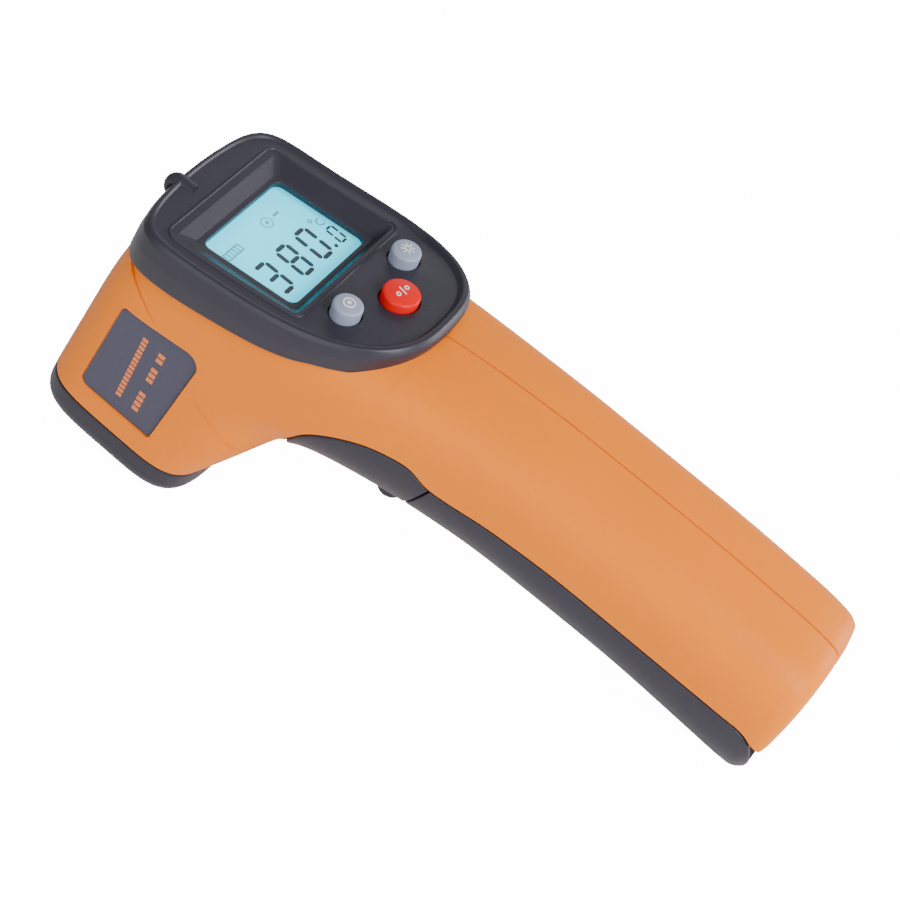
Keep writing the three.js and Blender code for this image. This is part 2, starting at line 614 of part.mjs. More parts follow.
function addTrigger() {
  const [x, z] = TRIGGER.pivot;
  const { half, low, high, bridge, cheek } = SLOT;
  const slot = block([bridge + 1.6, -half, low], [60, half, high]);
  const web = block([bridge, -16, low], [bridge + 1.6, 16, 9]);
  const cheeks = block([bridge, -cheek, low], [40, cheek, 11.8]);
  const plungerHole = rod('x', [10, 0, 1.0], 20, 1.9, 12);
  const pinHole = rod('y', [x, -12, z], 24, TRIGGER.pin + GAP, 12);
  const moulding = join(bodyWall, join(web, cheeks).intersect(middleForm));
  const strip = moulding.intersect(stripSpace()).intersect(splitSide(true));
  const springSeat = placed(rod('x', [0, 0, 0], SPRING.webSeat, SPRING.seat, 12), springLine);
  const surround = cut(strip, slot, plungerHole, pinHole, springSeat);
  part('trigger_surround', surround, blackPlastic);

  const blade = sideExtrusion(triggerOutline(), -TRIGGER.half, TRIGGER.half, 0.9);
  part('trigger', cut(blade, pinHole, springSeat), blackPlastic);
  part('trigger_pin', rod('y', [x, -cheek + 0.2, z], 2 * cheek - 0.4, TRIGGER.pin, 12), steel);
  const { start, length, radius, wire } = SPRING;
  part('trigger_spring', coil([start, 0, 0], length, radius, wire, 4), steel, springLine);
  part('trigger_plunger', rod('x', [19.9, 0, 1.0], 4.7, 1.4, 12), whitePlastic);
  const switchBody = cut(block([18.2, -3, -2], [21.1, 3, 4]), rod('x', [18.6, 0, 1.0], 5, 1.75, 12));
  part('trigger_switch', switchBody, chipBlack);
  part('trigger_board', block([16.5, -7, -6], [17.9, 7, 8]), boardGreen);
}

// ---------------------------------------------------------------- battery bay
function addDoor() {
  const [x, z] = DOOR_PIVOT;
  const knuckles = [-10.5, 7.5].map((y) => {
    const ring = rod('y', [x, y, z], 3, 2.3, 12);
    const arm = block([x, y, z - 1.7], [30, y + 3, z + 1.7]);
    return join(ring, arm).intersect(middleForm);
  });
  const wall = bodyWall.intersect(stripSpace()).intersect(splitSide(false));
  const bore = rod('y', [x, -12, z], 24, 1.0 + GAP, 12);
  const grips = [-19.0, -21.2, -23.4].map((low) => block([28.6, -7, low], [40, 7, low + 0.9]));
  const door = cut(join(wall, ...knuckles), bore);
  part('battery_door', cut(door, ...grips, belowTable()), blackPlastic);
  part('door_hinge_pin', rod('y', [x, -10.8, z], 21.6, 1.0, 12), steel);
}

function addTray() {
  const { low, high, back, front, half, plate } = TRAY;
  const [x, z] = DOOR_PIVOT;
  const hollow = block([back + plate, -half + plate, low + plate], [front + 9, half - plate, high - plate]);
  const rib = block([back, -0.35, low + 3.4], [back + 4.5, 0.35, high - 3.4]);
  const lugs = [-5.5, 2.5].map((y) => join(
    rod('y', [x, y, z], 3, 2.3, 12),
    block([x - 3.4, y, z], [x + 0.8, y + 3, low + 0.5]),
  ));
  const bore = rod('y', [x, -12, z], 24, 1.0 + GAP, 12);
  const body = cut(block([back, -half, low], [front, half, high]), hollow);
  part('battery_tray', cut(join(body, rib, ...lugs), bore), blackPlastic);
}

function addCells() {
  const { radius, length, nubRadius, nub, x, y } = CELL;
  const floor = TRAY.low + TRAY.plate + GAP + CONTACT;
  const roof = TRAY.high - TRAY.plate - GAP - CONTACT;
  const springLength = roof - floor - length - nub - 2 * GAP;
  const cell = (side, bodyStart, nubStart) => join(
    rod('z', [x, side * y, bodyStart], length, radius, 24),
    rod('z', [x, side * y, nubStart], nub + 0.2, nubRadius, 12),
  );
  const upright = roof - GAP - nub - length;
  part('cell_left', cell(1, upright, upright + length - 0.2), cellJacket);
  part('cell_right', cell(-1, floor + GAP + nub, floor + GAP), cellJacket);

  const spring = (side, start) => {
    const turns = 3;
    const points = Array.from({ length: turns * 8 + 1 }, (_, i) => {
      const turn = (i * Math.PI) / 4;
      const height = start + (springLength * i) / (turns * 8);
      return [x + 2.6 * Math.cos(turn), side * y + 2.6 * Math.sin(turn), height];
    });
    return cordAlong(points, 0.3, turns * 9);
  };
  const leaf = (y0, y1, z0) => block([x - 4.4, y0, z0], [x + 2.8, y1, z0 + CONTACT]);
  part('positive_contact', leaf(1.4, 10.6, roof), steel);
  part('negative_contact', join(leaf(-10.6, -1.4, roof), spring(-1, roof - springLength + 0.2)), steel);
  part('bridge_contact', join(leaf(-10.6, 10.6, floor - CONTACT), spring(1, floor - 0.2)), steel);
}

// ---------------------------------------------------------------- wiring
function addWires() {
  const wire = 0.6;
  for (const [name, side, material] of [['red', 1, redInsulation], ['black', -1, blackInsulation]]) {
    const battery = [[17.5, 6 * side, -28.2], [15.0, 7 * side, -20], [13.2, 9 * side, -8],
      [13.8, 8 * side, 2], [14.1, 7 * side, 8]];
    const laser = [[46.6, 1.3 * side, 56.6], [41, 1.5 * side, 52.5], [33, 2 * side, 49.5],
      [25, 2.2 * side, 48], [19.6, 2.4 * side, 48]];
    part(`battery_wire_${name}`, cordAlong(battery, wire, 12), material);
    part(`laser_wire_${name}`, cordAlong(laser, wire, 12), material);
  }
  const flat = (points, half) => {
    const line = smooth(points, 8);
    return sideExtrusion([...line, ...offsetLine(line, 0.5).reverse()], -half, half);
  };
  const sensorPath = [[44.9, 40.0], [38, 36.5], [29, 38.5], [23, 43], [18.7, 43.5]];
  part('sensor_ribbon', flat(sensorPath, 4), blackInsulation);
  part('trigger_ribbon', flat([[17.2, 8.4], [16.9, 11], [15.2, 13]], 2.5), blackInsulation);
}

addShells();
addHousing();
addDisplay();
addKeys();
addNose();
addTrigger();
addDoor();
addTray();
addCells();
addWires();

// ---------------------------------------------------------------- resting pose
const thermometer = new THREE.Group();
thermometer.add(tool);
tool.rotation.y = REST_ANGLE;
thermometer.updateMatrixWorld(true);
const bounds = new THREE.Box3().setFromObject(thermometer, true);
const middle = bounds.getCenter(new THREE.Vector3());
tool.position.set(-middle.x, -middle.y, -bounds.min.z);

export default thermometer;
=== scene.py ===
"""Looks of a pistol-grip infrared thermometer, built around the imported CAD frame.

Lengths are millimetres in the tool's own axes while a shape is worked out: x to the nose,
y to the user's left, z up the handle. place() then turns them into metres in the row frame.
"""

import math

import bpy
import numpy as np
from mathutils import Matrix, Vector
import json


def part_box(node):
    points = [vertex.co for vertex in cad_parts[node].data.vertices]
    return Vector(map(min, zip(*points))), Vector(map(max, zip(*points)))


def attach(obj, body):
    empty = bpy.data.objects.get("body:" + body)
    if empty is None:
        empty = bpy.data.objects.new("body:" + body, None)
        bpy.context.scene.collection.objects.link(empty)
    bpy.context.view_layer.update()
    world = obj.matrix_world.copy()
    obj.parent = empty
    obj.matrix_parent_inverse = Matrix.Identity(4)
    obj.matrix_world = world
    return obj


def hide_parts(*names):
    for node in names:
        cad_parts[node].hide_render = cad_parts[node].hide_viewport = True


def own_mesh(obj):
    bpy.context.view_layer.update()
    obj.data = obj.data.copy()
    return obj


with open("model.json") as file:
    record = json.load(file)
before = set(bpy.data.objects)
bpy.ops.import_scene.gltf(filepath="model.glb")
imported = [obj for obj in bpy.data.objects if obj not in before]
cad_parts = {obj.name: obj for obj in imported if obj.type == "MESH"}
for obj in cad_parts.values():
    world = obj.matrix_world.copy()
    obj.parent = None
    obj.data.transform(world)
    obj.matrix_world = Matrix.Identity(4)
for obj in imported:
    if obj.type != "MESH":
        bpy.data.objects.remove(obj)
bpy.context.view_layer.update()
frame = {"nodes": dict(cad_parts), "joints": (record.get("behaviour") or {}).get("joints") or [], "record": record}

# ------------------------------------------------------------------ driving dimensions
MM = 0.001
GAP = 0.3  # between neighbouring mouldings
EDGE = 0.3  # rounding of a moulding's edge
WALL = 1.7

# Sections of the body: front x, z and back x, z on the middle plane, half width, squareness
SECTIONS = np.array(
    [
        (26.5, -92.0, 2.5, -91.8, 12.5, 2.6),
        (29.7, -91.2, -0.2, -90.8, 15.2, 2.9),
        (31.0, -88.5, -1.4, -87.8, 16.2, 3.0),
        (30.4, -80.0, -2.2, -80.0, 16.5, 3.0),
        (29.0, -56.0, -3.0, -56.0, 16.5, 3.0),
        (29.2, -30.0, -2.9, -30.0, 16.7, 3.0),
        (30.7, -13.0, -2.0, -13.0, 17.4, 3.0),
        (32.6, 1.0, -0.3, 1.0, 18.6, 3.1),
        (34.2, 9.5, 2.0, 17.0, 19.6, 3.4),
        (37.5, 14.0, 4.0, 38.0, 20.2, 3.9),
        (42.5, 17.0, 9.0, 56.0, 20.5, 4.3),
        (48.0, 19.8, 26.0, 61.3, 20.5, 4.5),
        (54.5, 22.9, 44.0, 62.6, 20.5, 4.5),
        (60.7, 26.0, 59.3, 63.6, 20.5, 4.5),
    ]
)
NOSE = SECTIONS[13]
BARREL_LEAN = math.radians(2.13)
BARREL_ORIGIN = (60.0, 0.0, 44.8)

DOOR_PIVOT = (22.15, -84.2)
TRIGGER_PIVOT = (29.2, 8.6)
DOOR_END = 7.0  # radius of the door's rear end about its hinge
STRIP_TOP = 13.8
STRIP_LINE = [
    (15.0, -84.2), (14.9, -66.0), (14.8, -45.0), (15.7, -28.0), (17.2, -16.0), (17.3, -13.6),
    (15.5, -8.8), (16.7, -2.1), (20.6, 5.8), (26.0, 11.5), (32.0, 13.8),
]
SPLIT_START, SPLIT_SLOPE = (10.0, -16.5), 0.314
SLOT_HALF = 5.4

DISPLAY_UP = 37.0
DISPLAY_FACE = 7.54
DISPLAY_LEAN = math.radians(7.78)
RIM_LINE = [
    (-1.2, -1.0), (1.4, 5.0), (5.0, 11.4), (10.0, 20.5), (13.7, 33.3), (16.6, 48.0), (17.8, 68.0),
]

# ------------------------------------------------------------------ tool axes to the row frame
pivots = {j["name"]: Vector(j["pos_m"]) for j in frame["joints"] if "pos_m" in j}
row_door = pivots["battery_door_hinge"]
row_reach = pivots["trigger_pull"] - row_door
tool_reach = (TRIGGER_PIVOT[0] - DOOR_PIVOT[0], TRIGGER_PIVOT[1] - DOOR_PIVOT[1])
turn = math.atan2(tool_reach[1], tool_reach[0]) - math.atan2(row_reach.z, row_reach.x)
TOOL = (
    Matrix.Translation(row_door)
    @ Matrix.Rotation(turn, 4, "Y")
    @ Matrix.Scale(MM, 4)
    @ Matrix.Translation((-DOOR_PIVOT[0], 0, -DOOR_PIVOT[1]))
)
STACK = Matrix.Translation((DISPLAY_FACE, 0, DISPLAY_UP)) @ Matrix.Rotation(DISPLAY_LEAN, 4, "Y")
BARREL = Matrix.Translation(BARREL_ORIGIN) @ Matrix.Rotation(-BARREL_LEAN, 4, "Y")


def place(points, axes=None):
    """Points in the tool's axes, or a leaned group's, as metres in the row frame, none below the floor."""
    matrix = np.array(TOOL if axes is None else TOOL @ axes)
    points = np.asarray(points, float).reshape(-1, 3)
    moved = points @ matrix[:3, :3].T + matrix[:3, 3]
    moved[:, 2] = np.maximum(moved[:, 2], 0)
    return moved


# ------------------------------------------------------------------ meshes
SHARP = math.radians(38)  # edges sharper than this stay creased
CUT_SHARP = math.radians(35)  # the same on a piece that has been cut
KEY_SHARP = math.radians(40)


def mesh_object(name, points, faces):
    """A mesh in row metres, linked to the scene."""
    mesh = bpy.data.meshes.new(name)
    mesh.from_pydata(np.asarray(points).tolist(), [], [list(map(int, f)) for f in faces])
    obj = bpy.data.objects.new(name, mesh)
    bpy.context.scene.collection.objects.link(obj)
    return obj


def dress(obj, material, body, stands_for):
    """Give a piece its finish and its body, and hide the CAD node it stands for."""
    obj.data.materials.append(material)
    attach(obj, body)
    if stands_for:
        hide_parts(stands_for)


def piece(name, points, faces, material, slot, stands_for=None, body="case", axes=None):
    """A smooth-shaded piece of the object from points in the tool's axes or a leaned group's."""
    obj = mesh_object(name, place(points, axes), faces)
    obj.data.validate()
    obj.data.shade_smooth()
    obj.data.set_sharp_from_angle(angle=SHARP)
    dress(obj, material, body, stands_for)
    return obj


def grid_faces(rows, cols, wrap_cols=False, wrap_rows=False, flip=False, start=0):
    r = np.arange(rows if wrap_rows else rows - 1)
    c = np.arange(cols if wrap_cols else cols - 1)
    i, j = np.meshgrid(r, c, indexing="ij")
    i2, j2 = (i + 1) % rows, (j + 1) % cols
    quads = np.stack([i * cols + j, i * cols + j2, i2 * cols + j2, i2 * cols + j], -1)
    quads = quads.reshape(-1, 4) + start
    return quads[:, ::-1] if flip else quads


def border(rows, cols):
    """Indices of a grid's edge, once round."""
    grid = np.arange(rows * cols).reshape(rows, cols)
    return np.concatenate([grid[0, :-1], grid[:-1, -1], grid[-1, :0:-1], grid[:0:-1, 0]])


def normals_of(grid):
    du = np.gradient(grid, axis=0)
    dv = np.gradient(grid, axis=1)
    n = np.cross(dv, du)
    length = np.linalg.norm(n, axis=-1, keepdims=True)
    return n / np.maximum(length, 1e-9)


def distance_to_line(points, line):
    """Shortest distance from each point to a line through points in space."""
    a, b = line[:-1], line[1:]
    d = b - a
    keep = (d * d).sum(1) > 1e-12
    a, d = a[keep], d[keep]
    best = np.full(len(points), 1e9)
    for start in range(0, len(points), 4000):
        chunk = points[start : start + 4000, None, :] - a[None]
        t = np.clip((chunk * d).sum(-1) / (d * d).sum(-1), 0, 1)
        gap = chunk - t[..., None] * d
        best[start : start + 4000] = np.sqrt((gap * gap).sum(-1).min(1))
    return best


def moulding(grid, out, edges, wall=WALL, edge=EDGE):
    """A closed moulded wall from its outer skin: rounded along the edges, with an inner skin."""
    rows, cols = grid.shape[:2]
    flat = grid.reshape(-1, 3)
    normal = out.reshape(-1, 3)
    near = np.minimum.reduce([distance_to_line(flat, line) for line in edges])
    depth = np.where(near < edge, edge - np.sqrt(np.maximum(edge**2 - (edge - near) ** 2, 0)), 0)
    outer = flat - normal * depth[:, None]
    inner = flat - normal * wall
    faces = [grid_faces(rows, cols), grid_faces(rows, cols, flip=True, start=rows * cols)]
    ring = border(rows, cols)
    ahead = np.roll(ring, -1)
    faces.append(np.stack([ahead, ring, ring + rows * cols, ahead + rows * cols], -1))
    return np.vstack([outer, inner]), np.vstack(faces)


def fillet_rows(rows, radii, steps=7):
    """Rings of points with each corner between them rounded to its radius."""
    out = [rows[0]]
    for k in range(1, len(rows) - 1):
        before, here, after = rows[k - 1], rows[k], rows[k + 1]
        if radii[k] <= 0:
            out.append(here)
            continue
        a, b = before - here, after - here
        la = np.linalg.norm(a, axis=1, keepdims=True)
        lb = np.linalg.norm(b, axis=1, keepdims=True)
        a, b = a / la, b / lb
        half = np.arccos(np.clip((a * b).sum(1, keepdims=True), -1, 1)) / 2
        reach = np.minimum(radii[k] / np.tan(half), 0.48 * np.minimum(la, lb))
        weight = np.sin(half)
        for t in np.linspace(0, 1, steps):
            w0, w1, w2 = (1 - t) ** 2, 2 * t * (1 - t) * weight, t**2
            point = w0 * (here + a * reach) + w1 * here + w2 * (here + b * reach)
            out.append(point / (w0 + w1 + w2))
    out.append(rows[-1])
    return np.array(out)


def lathe(profile, steps=64):
    """Turned points and faces about a line along x from (x, radius) pairs; ends lie on the line."""
    profile = np.array(profile, float)
    angle = np.linspace(0, 2 * math.pi, steps, endpoint=False)
    x = np.repeat(profile[:, 0], steps)
    r = np.repeat(profile[:, 1], steps)
    a = np.tile(angle, len(profile))
    points = np.stack([x, r * np.cos(a), r * np.sin(a)], -1)
    return points, grid_faces(len(profile), steps, wrap_cols=True)


def boolean(obj, tool, operation="DIFFERENCE"):
    mod = obj.modifiers.new("cut", "BOOLEAN")
    mod.object = tool
    mod.operation = operation
    mod.solver = "EXACT"
    bpy.context.view_layer.update()
    mesh = bpy.data.meshes.new_from_object(obj.evaluated_get(bpy.context.evaluated_depsgraph_get()))
    obj.modifiers.clear()
    old = obj.data
    obj.data = mesh
    bpy.data.meshes.remove(old)
    bpy.data.objects.remove(tool)
    obj.data.set_sharp_from_angle(angle=CUT_SHARP)


def row_cutter(points, faces):
    """A solid to cut with, in row metres."""
    return mesh_object("cutter", points, faces)


def cutter(points, faces, axes=None):
    """A solid to cut with, in the tool's axes or a leaned group's."""
    matrix = np.array(TOOL if axes is None else TOOL @ axes)
    return row_cutter(np.asarray(points, float) @ matrix[:3, :3].T + matrix[:3, 3], faces)


def capped(outline, low, high, axis=1):
    """A prism from an outline in the plane across the given axis."""
    outline = np.asarray(outline, float)
    n = len(outline)
    points = np.zeros((2 * n, 3))
    others = [a for a in range(3) if a != axis]
    points[:n, others] = outline
    points[n:, others] = outline
    points[:n, axis] = low
    points[n:, axis] = high
    faces = [[i, (i + 1) % n, n + (i + 1) % n, n + i] for i in range(n)]
    return points, faces + [list(range(n))[::-1], list(range(n, 2 * n))]


def outwards(points, faces):
    """The same faces, turned round if they enclose a negative volume."""
    points = np.asarray(points, float)
    faces = [list(face) for face in faces]
    volume = 0.0
    for face in faces:
        a = points[face[0]]
        for i in range(1, len(face) - 1):
            volume += a @ np.cross(points[face[i]], points[face[i + 1]])
    return points, [face[::-1] for face in faces] if volume < 0 else faces


def stacked(rings):
    """A closed solid from rings with the same count of points, capped at both ends."""
    rings = np.asarray(rings, float)
    rows, count = rings.shape[:2]
    last = (rows - 1) * count
    faces = grid_faces(rows, count, wrap_cols=True).tolist()
    faces += [list(range(count)), list(range(last, last + count))[::-1]]
    return outwards(rings.reshape(-1, 3), faces)


def prism(outline, low, high, axis=1):
    """A solid prism, facing out, from an outline in the plane across the given axis."""
    return outwards(*capped(outline, low, high, axis))


def turned(profile, steps=72, centre=(0.0, 0.0), hollow=False):
    """A turned solid about a line along x at (y, z); a hollow one is a closed ring section."""
    shape, quads = lathe(profile, steps)
    if hollow:
        quads = grid_faces(len(profile), steps, wrap_cols=True, wrap_rows=True)
    return outwards(shape + [0, *centre], quads)


def turned_across(profile, pivot, steps=40, hollow=False):
    """A turned solid about a line across the tool, at a pivot's x and z."""
    shape, faces = turned(profile, steps, hollow=hollow)
    return outwards(np.stack([shape[:, 1] + pivot[0], shape[:, 0], shape[:, 2] + pivot[1]], -1), faces)


# ------------------------------------------------------------------ body form
def run_along(line):
    """Distance along a line of points, from 0 at its first."""
    return np.concatenate([[0], np.cumsum(np.linalg.norm(np.diff(line, axis=0), axis=1))])


def pchip(x, y, at):
    """Shape-preserving cubic through points, for each column of y."""
    h = np.diff(x)[:, None]
    slope = np.diff(y, axis=0) / h
    m = np.zeros_like(y)
    w1, w2 = 2 * h[1:] + h[:-1], h[1:] + 2 * h[:-1]
    same = slope[:-1] * slope[1:] > 0
    with np.errstate(divide="ignore", invalid="ignore"):
        mean = (w1 + w2) / (w1 / slope[:-1] + w2 / slope[1:])
    m[1:-1] = np.where(same, mean, 0)
    m[0], m[-1] = slope[0], slope[-1]
    k = np.clip(np.searchsorted(x, at, side="right") - 1, 0, len(x) - 2)
    t = ((at - x[k]) / (x[k + 1] - x[k]))[:, None]
    hk = h[k]
    a, b = 2 * t**3 - 3 * t**2 + 1, t**3 - 2 * t**2 + t
    c, d = -2 * t**3 + 3 * t**2, t**3 - t**2
    return a * y[k] + b * hk * m[k] + c * y[k + 1] + d * hk * m[k + 1]


middle_line = np.stack([SECTIONS[:, [0, 2]].mean(1), SECTIONS[:, [1, 3]].mean(1)], -1)
KNOTS = run_along(middle_line)
FINE = np.linspace(0, KNOTS[-1], 2400)
TABLE = pchip(KNOTS, SECTIONS, FINE)
SMOOTHING = 3.0  # mm along the body, above the heel
REACH = 300  # entries of the table on each side of the one smoothed
step = FINE[1] - FINE[0]
window = np.exp(-0.5 * (np.arange(-REACH, REACH + 1) * step / SMOOTHING) ** 2)
window /= window.sum()
lead = np.pad(TABLE, ((REACH, REACH), (0, 0)), mode="reflect", reflect_type="odd")
smoothed = np.stack([np.convolve(lead[:, c], window, "valid") for c in range(6)], -1)
blend_in = np.clip((FINE - KNOTS[3]) / 8, 0, 1)[:, None]
TABLE = TABLE * (1 - blend_in) + smoothed * blend_in
NOSE_AT = KNOTS[13]


def body_point(s, phi):
    """Points of the outer form: s along the body from the heel, phi from front round to back."""
    fx, fz, bx, bz, half, power = (np.interp(s, FINE, TABLE[:, c]) for c in range(6))
    c, q = np.cos(phi), np.sin(phi)
    r = (np.abs(c) ** power + np.abs(q) ** power) ** (-1 / power)
    x = (fx + bx) / 2 + (fx - bx) / 2 * c * r
    z = (fz + bz) / 2 + (fz - bz) / 2 * c * r
    return np.stack([x, half * q * r, z], -1)


LINE_SMOOTHING = 60  # passes


def spline_line(points, count):
    """A smooth line of so many points through a few."""
    points = np.array(points, float)
    at = run_along(points)
    raw = pchip(at, points, np.linspace(0, at[-1], count))
    for _ in range(LINE_SMOOTHING):
        raw[1:-1] = 0.25 * raw[:-2] + 0.5 * raw[1:-1] + 0.25 * raw[2:]
    return raw


STRIP = spline_line(STRIP_LINE, 400)
RIM = spline_line(RIM_LINE, 300)


def arc_x(z, radius):
    """x of the arc behind the door's pivot at a height below it."""
    down = np.minimum(z - DOOR_PIVOT[1], 0)
    return DOOR_PIVOT[0] - np.sqrt(np.maximum(radius**2 - down**2, 0))


def strip_x(z, clearance):
    """x of the line between shells and strip at a height; the heel's arc below the grip."""
    line = np.interp(z, STRIP[:, 1], STRIP[:, 0]) + clearance
    return np.where(z < DOOR_PIVOT[1], arc_x(z, DOOR_END - clearance), line)


def rim_x(z):
    return np.interp(z, RIM[:, 1], RIM[:, 0])


def first_crossing(s_values, test, steps=1500, backwards=False):
    """phi at which test(points) turns positive on each ring, from the front or from the back."""
    phi = np.linspace(0, math.pi, steps)
    if backwards:
        phi = phi[::-1]
    found = []
    for s in s_values:
        value = test(body_point(np.full(steps, s), phi))
        if value[0] > 0:
            found.append(phi[0])
            continue
        k = int(np.argmax(value > 0))
        if k == 0:
            found.append(phi[-1])
            continue
        share = value[k - 1] / (value[k - 1] - value[k])
        found.append(phi[k - 1] + share * (phi[k] - phi[k - 1]))
    return np.array(found)


def spread(length, cols):
    """Distances from 0 to length: close together near both ends, even between."""
    steps = np.array([0, 0.05, 0.12, 0.2, 0.3, 0.42])
    steps = steps * min(1.0, length / (4 * steps[-1] + 1e-9))
    middle = np.linspace(steps[-1], length - steps[-1], cols - 2 * (len(steps) - 1))
    return np.concatenate([steps[:-1], middle, (length - steps[:-1])[::-1]])


def body_rows(s_values, phi_low, phi_high, cols):
    """Rings between two limits, spaced by distance along the surface."""
    rows = []
    for s, low, high in zip(s_values, phi_low, phi_high):
        fine = np.linspace(low, high, 600)
        run = run_along(body_point(np.full(600, s), fine))
        phi = np.interp(spread(run[-1], cols), run, fine)
        rows.append(body_point(np.full(cols, s), phi))
    return np.array(rows)


END_STEPS = np.array([0, 0.06, 0.14, 0.22, 0.32, 0.5, 0.8])


def near_ends(low, high, count):
    """Places along the body, close together at both ends."""
    first, last = low + END_STEPS, high - END_STEPS[::-1]
    return np.concatenate([first[:-1], np.linspace(first[-1], last[0], count), last[1:]])


# ------------------------------------------------------------------ materials
BROAD_SCALE = 90  # per metre: the slow change in colour and roughness
GRAIN_HEIGHT = 0.05 * MM
COAT_ROUGHNESS = 0.12


def material(name, colour, roughness=0.5, metallic=0.0, grain=0.0, grain_size=0.4, shade=0.04,
             rough_vary=0.06, alpha=1.0, emission=0.0, coat=0.0, specular=0.5):
    """A procedural finish: two scales of noise vary colour and roughness and raise the grain."""
    mat = bpy.data.materials.new(name)
    mat.use_nodes = True
    nodes, links = mat.node_tree.nodes, mat.node_tree.links
    shader = nodes["Principled BSDF"]
    shader.inputs["Metallic"].default_value = metallic
    shader.inputs["Specular IOR Level"].default_value = specular
    shader.inputs["Alpha"].default_value = alpha
    shader.inputs["Coat Weight"].default_value = coat
    shader.inputs["Coat Roughness"].default_value = COAT_ROUGHNESS
    coords = nodes.new("ShaderNodeTexCoord")
    broad = nodes.new("ShaderNodeTexNoise")
    broad.inputs["Scale"].default_value = BROAD_SCALE
    broad.inputs["Detail"].default_value = 6
    links.new(coords.outputs["Object"], broad.inputs["Vector"])
    ramp = nodes.new("ShaderNodeMix")
    ramp.data_type = "RGBA"
    ramp.inputs[6].default_value = [c * (1 - shade) for c in colour] + [1]
    ramp.inputs[7].default_value = [min(1, c * (1 + shade)) for c in colour] + [1]
    links.new(broad.outputs["Fac"], ramp.inputs[0])
    links.new(ramp.outputs[2], shader.inputs["Base Color"])
    fine = nodes.new("ShaderNodeTexNoise")
    fine.inputs["Scale"].default_value = 1 / (grain_size * MM)
    fine.inputs["Detail"].default_value = 3
    links.new(coords.outputs["Object"], fine.inputs["Vector"])
    rough = nodes.new("ShaderNodeMapRange")
    rough.inputs["To Min"].default_value = max(0.02, roughness - rough_vary)
    rough.inputs["To Max"].default_value = min(1, roughness + rough_vary)
    links.new(broad.outputs["Fac"], rough.inputs["Value"])
    links.new(rough.outputs["Result"], shader.inputs["Roughness"])
    if grain:
        bump = nodes.new("ShaderNodeBump")
        bump.inputs["Strength"].default_value = grain
        bump.inputs["Distance"].default_value = GRAIN_HEIGHT
        links.new(fine.outputs["Fac"], bump.inputs["Height"])
        links.new(bump.outputs["Normal"], shader.inputs["Normal"])
    if emission:
        links.new(ramp.outputs[2], shader.inputs["Emission Color"])
        shader.inputs["Emission Strength"].default_value = emission
    return mat


ORANGE = material("orange_abs", (0.86, 0.205, 0.0), 0.44, grain=0.35, shade=0.03, specular=0.16)
BLACK = material("black_abs", (0.024, 0.022, 0.034), 0.38, grain=0.45, shade=0.12, specular=0.35)
LABEL = material("label_film", (0.055, 0.054, 0.085), 0.42, grain=0.12, grain_size=0.2, specular=0.3)
LABEL_INK = material("label_ink", (0.75, 0.20, 0.05), 0.45, grain=0.1, specular=0.2)
KEY_GREY = material("key_grey", (0.26, 0.30, 0.40), 0.42, grain=0.25, specular=0.4)
KEY_RED = material("key_red", (0.72, 0.001, 0.001), 0.38, grain=0.25, specular=0.2)
KEY_INK = material("key_ink", (0.80, 0.80, 0.84), 0.5, grain=0.1)
WINDOW = material("window_acrylic", (0.80, 0.95, 0.98), 0.06, alpha=0.03, rough_vary=0.02,
                  shade=0.01, specular=0.1)
# The display panel glows by emission. Part of this is its real backlight; part is painted light that makes up for
# the lamp light the window pane and the recess keep off it.
LCD = material("lcd_glass", (0.03, 0.72, 0.95), 0.30, emission=1.15, shade=0.03, rough_vary=0.03,
               specular=0.1)
LCD_INK = material("lcd_segments", (0.002, 0.016, 0.034), 0.5, shade=0.1, specular=0.1)
# The faint marks glow by emission, as the panel does. Part of this is the real backlight; part is painted light.
LCD_FAINT = material("lcd_faint_marks", (0.06, 0.30, 0.38), 0.5, emission=0.5, shade=0.05,
                     specular=0.1)
LENS = material("lens", (0.05, 0.03, 0.04), 0.12, coat=0.6, rough_vary=0.03)
STEEL = material("plated_steel", (0.62, 0.63, 0.65), 0.30, metallic=1.0, grain=0.1)
BRASS = material("turned_brass", (0.62, 0.43, 0.17), 0.28, metallic=1.0, grain=0.12)
BOARD = material("solder_mask", (0.012, 0.13, 0.04), 0.35, grain=0.15, shade=0.15)
RESIN = material("dark_resin", (0.018, 0.018, 0.022), 0.45, grain=0.3)
WHITE = material("white_plastic", (0.72, 0.73, 0.70), 0.38, grain=0.15)
PINK = material("zebra_elastomer", (0.62, 0.25, 0.36), 0.65, grain=0.3)
CELL = material("cell_jacket", (0.03, 0.05, 0.22), 0.28, grain=0.08, coat=0.3)
CELL_BAND = material("cell_band", (0.02, 0.30, 0.12), 0.28, grain=0.08, coat=0.3)
RED_WIRE = material("red_insulation", (0.45, 0.015, 0.015), 0.45, grain=0.1)
BLACK_WIRE = material("black_insulation", (0.02, 0.02, 0.022), 0.45, grain=0.1)

BY_SLOT = {
    "orange_shell": ORANGE, "label_film": LABEL, "black_plastic": BLACK, "steel": STEEL,
    "key_grey": KEY_GREY, "key_red": KEY_RED, "clear_window": WINDOW, "display_glass": LCD,
    "white_plastic": WHITE, "pink_elastomer": PINK, "green_board": BOARD, "dark_resin": RESIN,
    "lens": LENS, "brass": BRASS, "cell_jacket": CELL, "red_insulation": RED_WIRE,
    "black_insulation": BLACK_WIRE,
}
SLOT_OF = {s["node"]: s["material_slot"] for s in frame["record"]["subparts"]}
for node, cad in frame["nodes"].items():
    cad.data.materials.clear()
    cad.data.materials.append(BY_SLOT[SLOT_OF[node]])

# ------------------------------------------------------------------ orange shells
CLEARED = math.radians(30)  # lean of the shells' edge below the door's arc, clear of its swing
HOUSING_FOOT = 20.0  # below this height the shells stay outside the housing's outline


